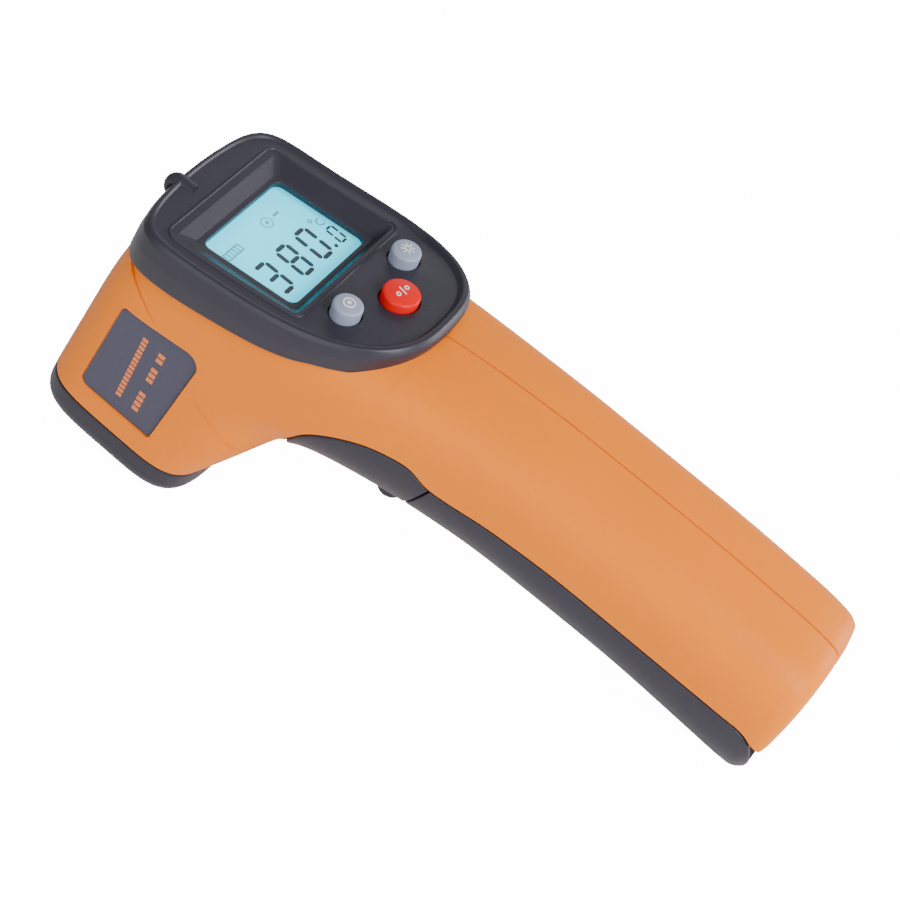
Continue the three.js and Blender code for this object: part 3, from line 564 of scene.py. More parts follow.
def shell_front_x(z):
    """Front edge of the shells: behind the strip, round the door's end, then clear of its swing."""
    radius = DOOR_END + GAP
    corner = DOOR_PIVOT[1] - radius * math.sin(CLEARED)
    slope = DOOR_PIVOT[0] - radius * math.cos(CLEARED) + (corner - z) * math.tan(CLEARED)
    line = np.interp(z, STRIP[:, 1], STRIP[:, 0]) - GAP / 2
    return np.where(z > DOOR_PIVOT[1], line, np.where(z > corner, arc_x(z, radius), slope))


def shell_grid(rings=330, cols=76):
    """Left shell's outer skin: heel first, then ring by ring to the nose joint."""
    s_values = near_ends(0.0, NOSE_AT - GAP / 2, 900)
    ends = len(END_STEPS)

    def ahead(p):
        behind_strip = np.maximum(shell_front_x(p[:, 2]) - p[:, 0], p[:, 2] - STRIP_TOP - GAP / 2)
        return np.minimum(behind_strip, p[:, 1] - GAP / 2)

    def inside_rim(p):
        below = np.maximum(DISPLAY_UP - p[:, 2], 0) / 34.9
        outside = (np.abs(p[:, 1]) / 21.1) ** 2.8 + below**2.8 - 1
        outside = np.where(p[:, 2] < HOUSING_FOOT, outside * 10, -1.0)
        clear = np.maximum(p[:, 0] - rim_x(p[:, 2]) - GAP / 2, outside)
        return np.minimum(clear, p[:, 1] - GAP / 2)

    low = first_crossing(s_values, ahead)
    run = run_along(body_point(s_values, low))
    path = 0.5 * run / run[-1] + 0.5 * s_values / s_values[-1]
    chosen = np.interp(np.linspace(0, 1, rings), path, s_values)
    inner = (chosen > s_values[ends - 1] + 0.1) & (chosen < s_values[-ends] - 0.1)
    chosen = np.concatenate([s_values[:ends], chosen[inner], s_values[-ends:]])
    high = first_crossing(chosen, inside_rim, backwards=True)
    rows = body_rows(chosen, np.interp(chosen, s_values, low), high, cols)
    shrink = 1 - np.concatenate([np.linspace(0, 0.94, 16), [0.97, 0.985, 0.993, 1.0]])
    heel = np.repeat(rows[:1], len(shrink), axis=0)
    heel[:, :, 1] = GAP / 2 + (heel[:, :, 1] - GAP / 2) * shrink[:, None]
    return np.concatenate([heel[:0:-1], rows])


def finger_dish(grid, normal):
    """The soft hollow in the side of the head above the trigger."""
    centre, along = np.array([36.0, 18.5]), np.array([0.75, 0.66])
    long, short, depth = 9.0, 4.5, 0.9
    away = grid[..., [0, 2]] - centre
    a, b = away @ along, away @ np.array([-along[1], along[0]])
    amount = np.exp(-((a / long) ** 2) - (b / short) ** 2) * np.clip(grid[..., 1] / 14, 0, 1)
    return grid - normal * (depth * amount)[..., None]


def label_outline(grow):
    """x, z points round the side label, with rounded corners, grown by a margin."""
    corners = [(28.6, 53.3), (26.6, 34.8), (54.2, 36.9), (53.9, 54.6)]
    radii = [1.2, 3.0, 1.2, 1.8]
    centre = (40.8, 44.9)
    points = []
    for (x, z), radius in zip(corners, radii):
        inward = (math.copysign(1, centre[0] - x), math.copysign(1, centre[1] - z))
        middle = (x + inward[0] * radius, z + inward[1] * radius)
        facing = math.atan2(-inward[1], -inward[0])
        for angle in np.linspace(facing - math.pi / 4, facing + math.pi / 4, 9):
            reach = radius + grow
            points.append((middle[0] + reach * math.cos(angle), middle[1] + reach * math.sin(angle)))
    return points[::-1]


SCREW_WELL = 2.65  # radius
SCREW_SUNK = 1.4  # from the floor of the well to the top of the head
LABEL_FLOOR, LABEL_FACE = 19.82, 20.10


def shells():
    """Both halves of the case, with the wells of the case screws and the recesses of the labels."""
    grid = shell_grid()
    grid = finger_dish(grid, normals_of(grid))
    edges = [grid[0], grid[-1], grid[:, 0], grid[:, -1]]
    points, faces = moulding(grid, normals_of(grid), edges)
    left = piece("left_shell_skin", points, faces, ORANGE, "orange_shell", "left_shell")
    mirrored = points * [1, -1, 1]
    right = piece("right_shell_skin", mirrored, faces[:, ::-1], ORANGE, "orange_shell", "right_shell")
    for number in range(1, 5):
        low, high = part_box(f"case_screw_{number}")
        centre = (low + high) / 2
        well, quads = lathe([(0, 0), (0, SCREW_WELL), (30, SCREW_WELL), (30, 0)], 64)
        bored = np.stack([well[:, 1], -well[:, 0], well[:, 2]], -1) * MM
        boolean(right, row_cutter(bored + [centre.x, low.y + SCREW_SUNK * MM, centre.z], quads))
    for skin, side in ((left, 1), (right, -1)):
        ends = sorted((side * LABEL_FLOOR, side * 25))
        boolean(skin, cutter(*capped(label_outline(GAP / 2), *ends)))


# ------------------------------------------------------------------ black front strip
STRIP_S = np.linspace(0.0, KNOTS[9] + 4, 700)


def outside_strip(p):
    return np.maximum(strip_x(p[:, 2], GAP / 2) - p[:, 0], p[:, 2] - STRIP_TOP + GAP / 2)


STRIP_PHI = first_crossing(STRIP_S, outside_strip)  # where the strip's edge is on each ring


def strip_point(s, v):
    """A point of the strip: v runs from -1 on the right edge to 1 on the left edge."""
    phi = np.abs(v) * np.interp(s, STRIP_S, STRIP_PHI)
    p = body_point(s, phi)
    p[..., 1] *= np.where(v < 0, -1, 1)
    return p


def strip_level(v, test, low, high):
    """s at which test(points) turns positive, for each v."""
    low, high = np.full(len(v), low), np.full(len(v), high)
    for _ in range(40):
        mid = (low + high) / 2
        up = test(strip_point(mid, v)) > 0
        high = np.where(up, mid, high)
        low = np.where(up, low, mid)
    return (low + high) / 2


def split_height(p):
    """Height above the line between the door and the trigger surround."""
    return p[:, 2] - (SPLIT_START[1] + (p[:, 0] - SPLIT_START[0]) * SPLIT_SLOPE)


STRIP_HALF = 24.0  # mm round the body from the middle to the strip's edge, for spacing
STRIP_COLS = 81
STRIP_EDGE = 0.4
GROOVES_AT = (-19.5, -21.5, -23.5)
GROOVE_DEPTH = 0.5


def strip_grid(start, end, length, rows):
    """The strip's outer skin between two limits along the body, each a function of v."""
    half = spread(2 * STRIP_HALF, STRIP_COLS) / STRIP_HALF - 1
    along = near_ends(0, length, rows) / length
    s = start(half)[None, :] * (1 - along[:, None]) + end(half)[None, :] * along[:, None]
    v = np.repeat(half[None, :], len(along), axis=0)
    return strip_point(s.ravel(), v.ravel()).reshape(len(along), len(half), 3)


def split_at(v, offset):
    """s of the line between door and surround, moved up by an offset, for each v."""
    return strip_level(v, lambda p: split_height(p) - offset, KNOTS[5], KNOTS[8])


def surround():
    """The trigger's surround with its slot, the slot's two cheeks and the web behind it."""
    top = STRIP_S[int(np.argmax(STRIP_PHI[50:] <= 1e-4)) + 49]
    grid = strip_grid(lambda v: split_at(v, GAP / 2), lambda v: np.full(len(v), top), 24.0, 60)
    edges = [grid[0], grid[:, 0], grid[:, -1]]
    points, faces = moulding(grid, normals_of(grid), edges, edge=STRIP_EDGE)
    skin = piece("trigger_surround_skin", points, faces, BLACK, "black_plastic", "trigger_surround")
    corner, shoulder = 2.4, 9.6
    arch = [(-SLOT_HALF, -30), (SLOT_HALF, -30), (SLOT_HALF, shoulder)]
    for a in np.linspace(0.2, math.pi / 2, 7):
        arch.append((SLOT_HALF - corner + corner * math.cos(a), shoulder + corner * math.sin(a)))
    arch += [(-y, z) for y, z in arch[:1:-1]]
    boolean(skin, cutter(*capped(arch, 24, 46, axis=0)))
    heights = np.linspace(-9.0, 11.2, 30)
    front = np.interp(heights, TABLE[:, 1], TABLE[:, 0]) - 1.4
    outline = [(21.6, -11.0), *zip(front, heights), (21.6, 11.2)]
    for side, name in ((-1, "right"), (1, "left")):
        cheek = capped(outline, *sorted((side * SLOT_HALF, side * (SLOT_HALF + 1.6))))
        piece(f"trigger_cheek_{name}", *cheek, BLACK, "black_plastic").data.shade_flat()
    web = capped([(21.4, -13.5), (23.0, -13.5), (23.0, 9.0), (21.4, 9.0)], -14.5, 14.5)
    piece("trigger_web", *web, BLACK, "black_plastic").data.shade_flat()


def door():
    """The battery door with its round foot and three finger grooves."""
    bottom = lambda v: strip_level(v, lambda p: p[:, 2] - DOOR_PIVOT[1] + DOOR_END, 0.0, KNOTS[3])
    grid = strip_grid(bottom, lambda v: split_at(v, -GAP / 2), 76.0, 190)
    shrink = 1 - np.concatenate([np.linspace(0, 0.9, 10), [1.0]])
    foot = np.repeat(grid[:1], len(shrink), axis=0)
    foot[:, :, 1] *= shrink[:, None]
    normal = normals_of(grid)
    for z in GROOVES_AT:
        tall = 1 / (1 + ((grid[..., 2] - z) / 0.38) ** 6)
        wide = 1 / (1 + (grid[..., 1] / 6.5) ** 16)
        grid = grid - normal * (GROOVE_DEPTH * tall * wide)[..., None]
    whole = np.concatenate([foot[:0:-1], grid])
    normal = normals_of(whole)
    normal[: len(foot) - 2] = [0, 0, -1]
    sides = whole[len(foot) - 1 :]
    points, faces = moulding(whole, normal, [whole[-1], sides[:, 0], sides[:, -1]], edge=STRIP_EDGE)
    piece("battery_door_skin", points, faces, BLACK, "black_plastic", "battery_door", "battery_door")


shells()
surround()
door()

# ------------------------------------------------------------------ display housing
def tube(path, radius, width, steps):
    """A round or oval cord along a line of points, with capped ends."""
    path = np.array(path, float)
    along = np.gradient(path, axis=0)
    along /= np.linalg.norm(along, axis=1, keepdims=True)
    side = np.cross(along[0], [0.0, 1.0, 0.0])
    if np.linalg.norm(side) < 0.1:
        side = np.cross(along[0], [1.0, 0.0, 0.0])
    rows = []
    angle = np.linspace(0, 2 * math.pi, steps, endpoint=False)
    for point, forward in zip(path, along):
        side = side - forward * (side @ forward)
        side /= np.linalg.norm(side)
        other = np.cross(forward, side)
        ring = np.outer(np.cos(angle), side) * radius + np.outer(np.sin(angle), other) * width
        rows.append(point + ring)
    return stacked(rows)


def housing_back(z):
    return -3 + 0.3207 * (z - 3) - 0.00228 * (z - 3) ** 2


def recess_floor(z):
    return DISPLAY_FACE + (z - DISPLAY_UP) * math.tan(DISPLAY_LEAN)


def housing_skirt(z):
    return rim_x(z) + 2.0 * np.clip((17 - z) / 8, 0, 1)


def rounded_box(half, up, down, radius, along=56, corner=10):
    """Points round a rectangle with rounded corners: the same count on every ring."""
    points = []
    corners = [(half, up, 0), (-half, up, 1), (-half, -down, 2), (half, -down, 3)]
    for (y, z, k), (y2, z2, k2) in zip(corners, corners[1:] + corners[:1]):
        centre = np.array([y - math.copysign(radius, y), z - math.copysign(radius, z)])
        centre2 = np.array([y2 - math.copysign(radius, y2), z2 - math.copysign(radius, z2)])
        turn = np.linspace(k * math.pi / 2, (k + 1) * math.pi / 2, corner + 1)
        arc = centre + radius * np.stack([np.cos(turn), np.sin(turn)], -1)
        start = centre2 + radius * np.array([math.cos(turn[-1]), math.sin(turn[-1])])
        line = arc[-1] + np.linspace(0, 1, along + 1)[1:-1, None] * (start - arc[-1])
        points += [arc, line]
    return np.concatenate(points)


FRAME = rounded_box(18.0, 16.2, 14.0, 2.2)
BEARING = np.arctan2(FRAME[:, 1], FRAME[:, 0])
HOUSING_BOW, BOW_REACH = 2.2, 23.0


def outline_ring(half, up, down, top=7.0, bottom=2.8):
    """Points round the housing's own outline, on the bearings of the recess frame."""
    y, rise = np.cos(BEARING), np.sin(BEARING)
    reach, square = np.where(rise > 0, up, down), np.where(rise > 0, top, bottom)
    r = ((np.abs(y) / half) ** square + (np.abs(rise) / reach) ** square) ** (-1 / square)
    height = rise * r
    sag = HOUSING_BOW * (y * r / half) ** 2 * np.maximum(height, 0) / BOW_REACH
    return np.stack([y * r, height - sag], -1)


def ring(outline, depth_at):
    z = DISPLAY_UP + outline[:, 1]
    return np.stack([depth_at(z), outline[:, 0], z], -1)


def body_solid(grow, turns=160):
    """The body form grown by a gap, closed, to cut the housing's skirt to it."""
    s = np.linspace(KNOTS[5], NOSE_AT, 90)
    phi = np.linspace(0, 2 * math.pi, turns, endpoint=False)
    front = body_point(np.repeat(s, turns), np.tile(phi, len(s))).reshape(len(s), turns, 3)
    wide = front[:, list(range(turns)) + [0]]
    normal = normals_of(np.concatenate([wide[:, -2:-1], wide, wide[:, 1:2]], axis=1))[:, 1:-2]
    middle = front.mean(axis=1, keepdims=True)
    sign = np.sign((normal * (front - middle)).sum(-1).mean())
    return stacked(front + sign * normal * grow)


# Each key's name, y, height from the display's middle, and radius
KEYS = [("left", 10.3, -19.7, 2.95), ("middle", 0.0, -25.1, 3.75), ("right", -10.3, -19.7, 2.95)]
KEY_PLAY = 0.35  # between a key and its hole
LID = (0.35, 0.6)  # the back face sits this far below its border, and this much more by the keys


def lid(z):
    return housing_back(z) + LID[0] + LID[1] * np.clip((24 - z) / 7, 0, 1)


def groove(z):
    """The floor of the fine groove round the display's frame."""
    return lid(z) - 0.25


def lip(z):
    return housing_back(z) - 0.1


def under_recess(z):
    return recess_floor(z) + 1.3


def under_back(z):
    return housing_back(z) + 2.0


def display_housing():
    """The housing as rings from its skirt over the lip into the recess and back inside."""
    rows = [  # outline, depth and the radius its corner is rounded to
        (outline_ring(19.3, 21.2, 33.2), housing_skirt, 0.0),
        (outline_ring(21.5, 23.6, 35.4), housing_skirt, 0.35),
        (outline_ring(21.8, 23.4, 35.5), lambda z: (rim_x(z) + housing_back(z)) / 2, 3.0),
        (outline_ring(21.75, 23.0, 35.2), lambda z: housing_back(z) + 1.1, 1.4),
        (outline_ring(21.2, 22.5, 34.3), lip, 0.9),
        (outline_ring(20.5, 22.0, 33.4), lip, 0.5),
        (outline_ring(20.0, 21.5, 32.8), lid, 0.35),
        (rounded_box(17.95, 16.45, 14.25, 2.4), lid, 0.1),
        (rounded_box(17.8, 16.3, 14.1, 2.3), groove, 0.1),
        (rounded_box(17.55, 16.05, 13.85, 2.1), groove, 0.1),
        (rounded_box(17.4, 15.9, 13.7, 2.0), lid, 0.1),
        (rounded_box(16.9, 14.4, 12.9, 1.2), lid, 0.25),
        (rounded_box(13.9, 11.5, 11.4, 1.2), recess_floor, 0.25),
        (rounded_box(12.75, 10.35, 10.55, 1.7), recess_floor, 0.15),
        (rounded_box(12.7, 10.3, 10.5, 1.7), under_recess, 0.0),
        (rounded_box(15.2, 13.4, 13.8, 1.7), under_recess, 0.0),
        (rounded_box(17.6, 15.6, 15.1, 1.7), under_back, 0.0),
        (outline_ring(18.4, 19.6, 32.0), under_back, 0.0),
        (outline_ring(19.3, 21.4, 33.2), housing_skirt, 0.0),
    ]
    rings = fillet_rows([ring(outline, depth) for outline, depth, _ in rows], [row[2] for row in rows])[:-1]
    faces = grid_faces(*rings.shape[:2], wrap_cols=True, wrap_rows=True)
    skin = piece("display_housing_skin", *outwards(rings.reshape(-1, 3), faces), BLACK,
                 "black_plastic", "display_housing")
    body = cutter(*body_solid(GAP / 2))
    edge = [(x - GAP / 2, z) for x, z in RIM[::6]] + [tuple(RIM[-1] - [GAP / 2, 0])]
    ahead = [(edge[0][0], -20.0)] + edge + [(edge[-1][0], 90.0), (95.0, 90.0), (95.0, -20.0)]
    boolean(body, cutter(*prism(ahead, -30, 30)), "INTERSECT")
    boolean(skin, body)
    for _, y, up, radius in KEYS:
        hole = radius + KEY_PLAY
        well = turned([(-12, 0), (-12, hole), (4, hole), (4, 0)], 72, (y, up))
        boolean(skin, cutter(*well, axes=STACK))


def eyelet():
    """The lanyard's loop behind the top of the housing."""
    x, y, z = 10.6, 4.0, 59.0
    radius, leg = 2.0, 3.0
    arch = [(x + radius, y, z - leg)]
    for a in np.linspace(0, math.pi, 21):
        arch.append((x + radius * math.cos(a), y, z + radius * math.sin(a)))
    arch.append((x - radius, y, z - leg))
    piece("lanyard_eyelet", *tube(arch, 1.15, 1.5, 24), BLACK, "black_plastic")


# ------------------------------------------------------------------ display
def plate(name, outline, low, high, finish, slot, stands_for, edge=0.2):
    """A flat plate of the display stack with rounded edges; outline across x, from low to high."""
    outline = np.array(outline, float)
    middle = outline.mean(axis=0)
    rows = []
    away = outline - middle
    size = np.abs(away).max(axis=0)
    for x, inset in [(low, edge), (low + edge * 0.3, edge * 0.3), (low + edge, 0),
                     (high - edge, 0), (high - edge * 0.3, edge * 0.3), (high, edge)]:
        rows.append(np.column_stack([np.full(len(outline), x), middle + away * (1 - inset / size)]))
    return piece(name, *stacked(rows), finish, slot, stands_for, axes=STACK)


def joined(shapes):
    """Several closed shapes as one list of points and faces."""
    points, faces, start = [], [], 0
    for shape, quads in shapes:
        points.append(np.asarray(shape, float))
        faces += [[int(i) + start for i in face] for face in quads]
        start += len(shape)
    return np.concatenate(points), faces


def bar(y, z, half_y, half_z, ink):
    """A printed bar of the display stack about its middle."""
    corners = [(y + half_y, z - half_z), (y + half_y, z + half_z), (y - half_y, z + half_z),
               (y - half_y, z - half_z)]
    return prism(corners, *ink, axis=0)


DIGIT_LEAN = 0.9 / 7.7


def segment(start, end, width, gap):
    """One bar of a digit: a long hexagon between two corners."""
    a, b = np.array(start, float), np.array(end, float)
    way = (b - a) / np.linalg.norm(b - a)
    side = np.array([-way[1], way[0]]) * width / 2
    a, b = a + way * gap, b - way * gap
    tip = way * width / 2
    return [a, a + tip + side, b - tip + side, b, b - tip - side, a + tip - side]


def digit(shown, right, foot, wide, tall, width):
    """Bars of one digit standing at its left foot; right is towards -y."""
    lit = {"0": "abcdef", "3": "abcdg", "8": "abcdefg"}[shown]
    ends = {"a": ((0, 2), (1, 2)), "b": ((1, 2), (1, 1)), "c": ((1, 1), (1, 0)), "d": ((0, 0), (1, 0)),
            "e": ((0, 1), (0, 0)), "f": ((0, 2), (0, 1)), "g": ((0, 1), (1, 1))}
    bars = []
    for name in lit:
        corners = []
        for across, level in ends[name]:
            height = level * tall / 2
            corners.append((right - across * wide - DIGIT_LEAN * height, foot + height))
        bars.append(segment(*corners, width, width * 0.22))
    return bars


def dot(centre, radius, ink):
    turn = np.linspace(0, 2 * math.pi, 12, endpoint=False)
    outline = [(centre[0] + radius * math.cos(a), centre[1] + radius * math.sin(a)) for a in turn]
    return prism(outline, *ink, axis=0)


def annulus(centre, outer, inner, ink, sweep=None, start=0.0, steps=32):
    """A flat ring, or an arc of one, standing on the plane across x."""
    low, high = ink
    whole = sweep is None
    turn = start + np.linspace(0, sweep or 2 * math.pi, steps + (not whole), endpoint=not whole)
    rows = []
    for angle in turn:
        y, z = math.cos(angle), math.sin(angle)
        section = ((inner, low), (outer, low), (outer, high), (inner, high))
        rows.append([(x, centre[0] + y * r, centre[1] + z * r) for r, x in section])
    if not whole:
        return stacked(rows)
    return outwards(np.reshape(rows, (-1, 3)), grid_faces(len(rows), 4, wrap_cols=True, wrap_rows=True))


LCD_FRONT = 2.7  # below the recess floor
LCD_LEFT, LCD_TOP, LCD_WIDE, LCD_TALL = 12.7, 10.3, 25.4, 20.8


def lcd_at(across, down):
    """y and z of a place on the display, from 0 to 1 across and down."""
    return LCD_LEFT - LCD_WIDE * across, LCD_TOP - LCD_TALL * down


def print_marks(name, shapes, finish):
    piece(name, *joined(shapes), finish, "display_glass", axes=STACK).data.shade_flat()


def display():
    """Window, display panel and what it shows: a reading, a degree sign and three plain signs."""
    plate("window_pane", rounded_box(14.8, 12.6, 13.0, 0.6, 6, 4), 1.6, 2.4, WINDOW,
          "clear_window", "display_window")
    plate("lcd_glass", rounded_box(14.8, 13.0, 13.4, 0.4, 6, 4), LCD_FRONT, 4.5, LCD,
          "display_glass", "lcd_panel", edge=0.15)
    ink = (LCD_FRONT - 0.05, LCD_FRONT + 0.05)
    bars = []
    for shown, across in (("3", 0.137), ("8", 0.413), ("0", 0.667)):
        bars += digit(shown, *lcd_at(across, 0.82), 3.3, 7.4, 0.92)
    bars += digit("0", *lcd_at(0.925, 0.82), 1.8, 4.1, 0.5)
    shapes = [prism(outline, *ink, axis=0) for outline in bars]
    print_marks("lcd_digits", [*shapes, dot(lcd_at(0.865, 0.806), 0.45, ink)], LCD_INK)
    degree = annulus(lcd_at(0.925, 0.455), 0.55, 0.27, ink)
    letter = annulus(lcd_at(0.985, 0.525), 1.0, 0.7, ink, sweep=4.4, start=-2.2)
    print_marks("lcd_unit", [degree, letter], LCD_FAINT)
    target = lcd_at(0.66, 0.19)
    signs = [annulus(target, 1.35, 1.15, ink), dot(target, 0.4, ink)]
    signs.append(bar(*lcd_at(0.79, 0.18), 0.9, 0.25, ink))
    y, z = lcd_at(0.20, 0.20)
    signs += [bar(y, z + side * 0.85, 2.5, 0.14, ink) for side in (1, -1)]
    signs += [bar(y + step, z, 0.14, 0.7, ink) for step in np.linspace(-2.3, 2.3, 6)]
    print_marks("lcd_symbols", signs, LCD_FAINT)


# ------------------------------------------------------------------ keys
def key_top(radius, distance):
    return -6.1 + 0.45 * (distance / radius) ** 2


KEY_EDGE, KEY_EDGE_DEPTH = 0.75, 0.62  # rounding of a key's rim, across and down


def key_cap(radius):
    """Profile of a key: dome, rounded rim and the flange that keeps it in the housing."""
    face = radius - KEY_EDGE
    rim = key_top(radius, face)
    profile = [(key_top(radius, r), r) for r in np.linspace(0, face, 12)]
    for a in np.linspace(0, math.pi / 2, 10)[1:]:
        profile.append((rim + KEY_EDGE_DEPTH * (1 - math.cos(a)), face + KEY_EDGE * math.sin(a)))
    profile += [(-0.9, radius + 0.03), (-0.9, radius + 0.9), (0.1, radius + 0.9), (0.1, radius - 0.4)]
    return profile + [(2.9, radius - 0.6), (2.9, 0)]


def key_marks(name, y, up, ink):
    """A generic sign on each key: a ring with a dot, two rings and a stroke, or a sun."""
    if name == "left":
        return [annulus((y, up), 1.25, 0.98, ink), annulus((y, up), 0.42, 0.05, ink)]
    if name == "middle":
        rings = [annulus((y + side * 1.25, up + side * 0.1), 0.5, 0.3, ink) for side in (1, -1)]
        stroke = [(y + 0.1, up - 1.0), (y - 0.45, up + 1.0), (y - 0.2, up + 1.0), (y + 0.35, up - 1.0)]
        return rings + [prism(stroke, *ink, axis=0)]
    marks = [annulus((y, up), 0.75, 0.5, ink)]
    for turn in np.linspace(0, 2 * math.pi, 8, endpoint=False):
        way = np.array([math.cos(turn), math.sin(turn)])
        side = np.array([-way[1], way[0]]) * 0.11
        a, b = [y, up] + way * 0.98, [y, up] + way * 1.42
        marks.append(prism([a + side, b + side, b - side, a - side], *ink, axis=0))
    return marks


def keys():
    for name, y, up, radius in KEYS:
        finish, slot = (KEY_RED, "key_red") if name == "middle" else (KEY_GREY, "key_grey")
        body = f"{name}_key"
        cap = turned(key_cap(radius), 80, (y, up))
        obj = piece(f"keycap_{name}", *cap, finish, slot, f"key_{name}", body, STACK)
        obj.data.set_sharp_from_angle(angle=KEY_SHARP)
        top = key_top(radius, 0.9)
        marks = key_marks(name, y, up, (top - 0.07, top + 0.4))
        piece(f"keymark_{name}", *joined(marks), KEY_INK, slot, None, body, STACK).data.shade_flat()


# ------------------------------------------------------------------ labels and case screws
DASH_ROWS = [  # height, size, ends, count and the gaps of each printed row of dashes
    (46.4, 1.25, 31.6, 50.4, 15, ()),
    (42.1, 1.5, 32.2, 50.8, 12, (2, 6, 7)),
]


def labels():
    """A label on each side: a film with rounded edges, printed with two rows of plain dashes."""
    outline = np.array(label_outline(0))
    middle = outline.mean(axis=0)
    size = np.abs(outline - middle).max(axis=0)
    levels = [(LABEL_FLOOR + 0.01, 0.0), (LABEL_FACE - 0.12, 0.0), (LABEL_FACE - 0.03, 0.05),
              (LABEL_FACE, 0.14)]
    for side, name in ((1, "left"), (-1, "right")):
        rows = []
        for y, inset in levels:
            flat = middle + (outline - middle) * (1 - inset / size)
            rows.append(np.column_stack([flat[:, 0], np.full(len(flat), side * y), flat[:, 1]]))
        piece(f"{name}_label_plate", *stacked(rows), LABEL, "label_film", f"{name}_label")
        marks = []
        low, high = sorted((side * (LABEL_FACE - 0.05), side * (LABEL_FACE + 0.03)))
        for z, tall, start, end, count, gaps in DASH_ROWS:
            pitch = (end - start) / count
            for i in sorted(set(range(count)) - set(gaps)):
                x, x2 = start + pitch * i, start + pitch * (i + 0.72)
                dash = [(x, z - tall / 2), (x2, z - tall / 2), (x2, z + tall / 2), (x, z + tall / 2)]
                marks.append(prism(dash, low, high))
        piece(f"{name}_label_marks", *joined(marks), LABEL_INK, "label_film").data.shade_flat()


def case_screws():
    """Screws with a domed head and a cross recess, upright in the CAD screws' own places."""
    for number in range(1, 5):
        node = f"case_screw_{number}"
        low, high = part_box(node)
        centre = (low + high) / 2
        seat = np.array([centre.x, low.y, centre.z])
        length = (high.y - low.y) / MM
        profile = [(0, 0), (0, 1.75), (0.12, 2.1), (0.45, 2.3), (1.5, 2.3), (1.5, 1.1)]
        profile += [(length - 0.8, 1.1), (length, 0.3), (length, 0)]
        shape, quads = lathe(profile, 48)
        upright = np.stack([shape[:, 1], shape[:, 0], shape[:, 2]], -1) * MM + seat
        screw = mesh_object(f"screw_body_{number}", *outwards(upright, quads))
        screw.data.shade_smooth()
        dress(screw, STEEL, "case", node)
        for along, across in ((1.35, 0.28), (0.28, 1.35)):
            cross = [(-along, -across), (along, -across), (along, across), (-along, across)]
            shape, quads = prism(cross, -0.5, 0.95)
            boolean(screw, row_cutter(shape * MM + seat, quads))


display_housing()
eyelet()
display()
keys()
labels()
case_screws()

# ------------------------------------------------------------------ nose
def nose_ring(forward, inset, turns=220):
    """A ring of the nose section, moved forward and drawn in by an inset."""
    front, back = NOSE[[0, 1]], NOSE[[2, 3]]
    middle, span = (front + back) / 2, (front - back) / 2
    reach = np.linalg.norm(span)
    down = span / reach
    axis = np.array([math.cos(BARREL_LEAN), math.sin(BARREL_LEAN)])
    phi = np.linspace(0, 2 * math.pi, turns, endpoint=False)
    c, q, power = np.cos(phi), np.sin(phi), NOSE[5]
    r = (np.abs(c) ** power + np.abs(q) ** power) ** (-1 / power)
    flat = middle + axis * (forward + GAP / 2) + np.outer(c * r * (reach - inset), down)
    return np.column_stack([flat[:, 0], (NOSE[4] - inset) * q * r, flat[:, 1]])


APERTURE, LASER = (0.0, -3.5), (0.0, 13.0)  # y and height on the nose of the two openings
BEZEL_DEPTH = 9.2
CONE_STEPS = 5


def bezel():
    """The nose ring with the stepped cone in front of the lens and the laser's hole."""
    rows = [nose_ring(0.0, 0.35), nose_ring(0.1, 0.1), nose_ring(0.35, 0.0)]
    rows += [nose_ring(f, 0.0) for f in np.linspace(0.8, 3.5, 5)]
    for a in np.linspace(0, math.pi / 2, 26)[1:]:
        rows.append(nose_ring(3.5 + 5.7 * math.sin(a), 6.2 * (1 - math.cos(a))))
    skin = piece("front_bezel_skin", *stacked(rows), BLACK, "black_plastic", "front_bezel")
    floor = BEZEL_DEPTH - 6.5
    cone = [(-5, 0), (-5, 5.0), (floor, 5.0), (floor, 8.5)]
    depth, radius = floor, 8.5
    for _ in range(CONE_STEPS):
        depth += 1.15
        cone += [(depth, radius + 0.12), (depth, radius + 0.5)]
        radius += 0.58
    cone += [(BEZEL_DEPTH - 0.35, 11.45), (BEZEL_DEPTH + 0.2, 12.1), (BEZEL_DEPTH + 2, 12.1)]
    boolean(skin, cutter(*turned([*cone, (BEZEL_DEPTH + 2, 0)], 120, APERTURE), axes=BARREL))
    hole = [(-5, 0), (-5, 3.5), (3.2, 3.5), (3.2, 2.0), (BEZEL_DEPTH - 0.5, 2.0),
            (BEZEL_DEPTH + 0.1, 2.6), (BEZEL_DEPTH + 2, 2.6), (BEZEL_DEPTH + 2, 0)]
    boolean(skin, cutter(*turned(hole, 64, LASER), axes=BARREL))


def lens_profile():
    """A shallow dome moulded in fine rings, as an infrared lens is."""
    depth, radius, rise = -1.35, 5.2, 0.55
    profile = [(-2.2, 0), (-2.2, 5.5), (depth, 5.5)]
    for k, r in enumerate(np.linspace(radius, 0.4, 33)):
        profile.append((depth + rise * (1 - (r / radius) ** 2) + (0.05 if k % 2 else 0.0), r))
    return profile + [(-0.75, 0)]


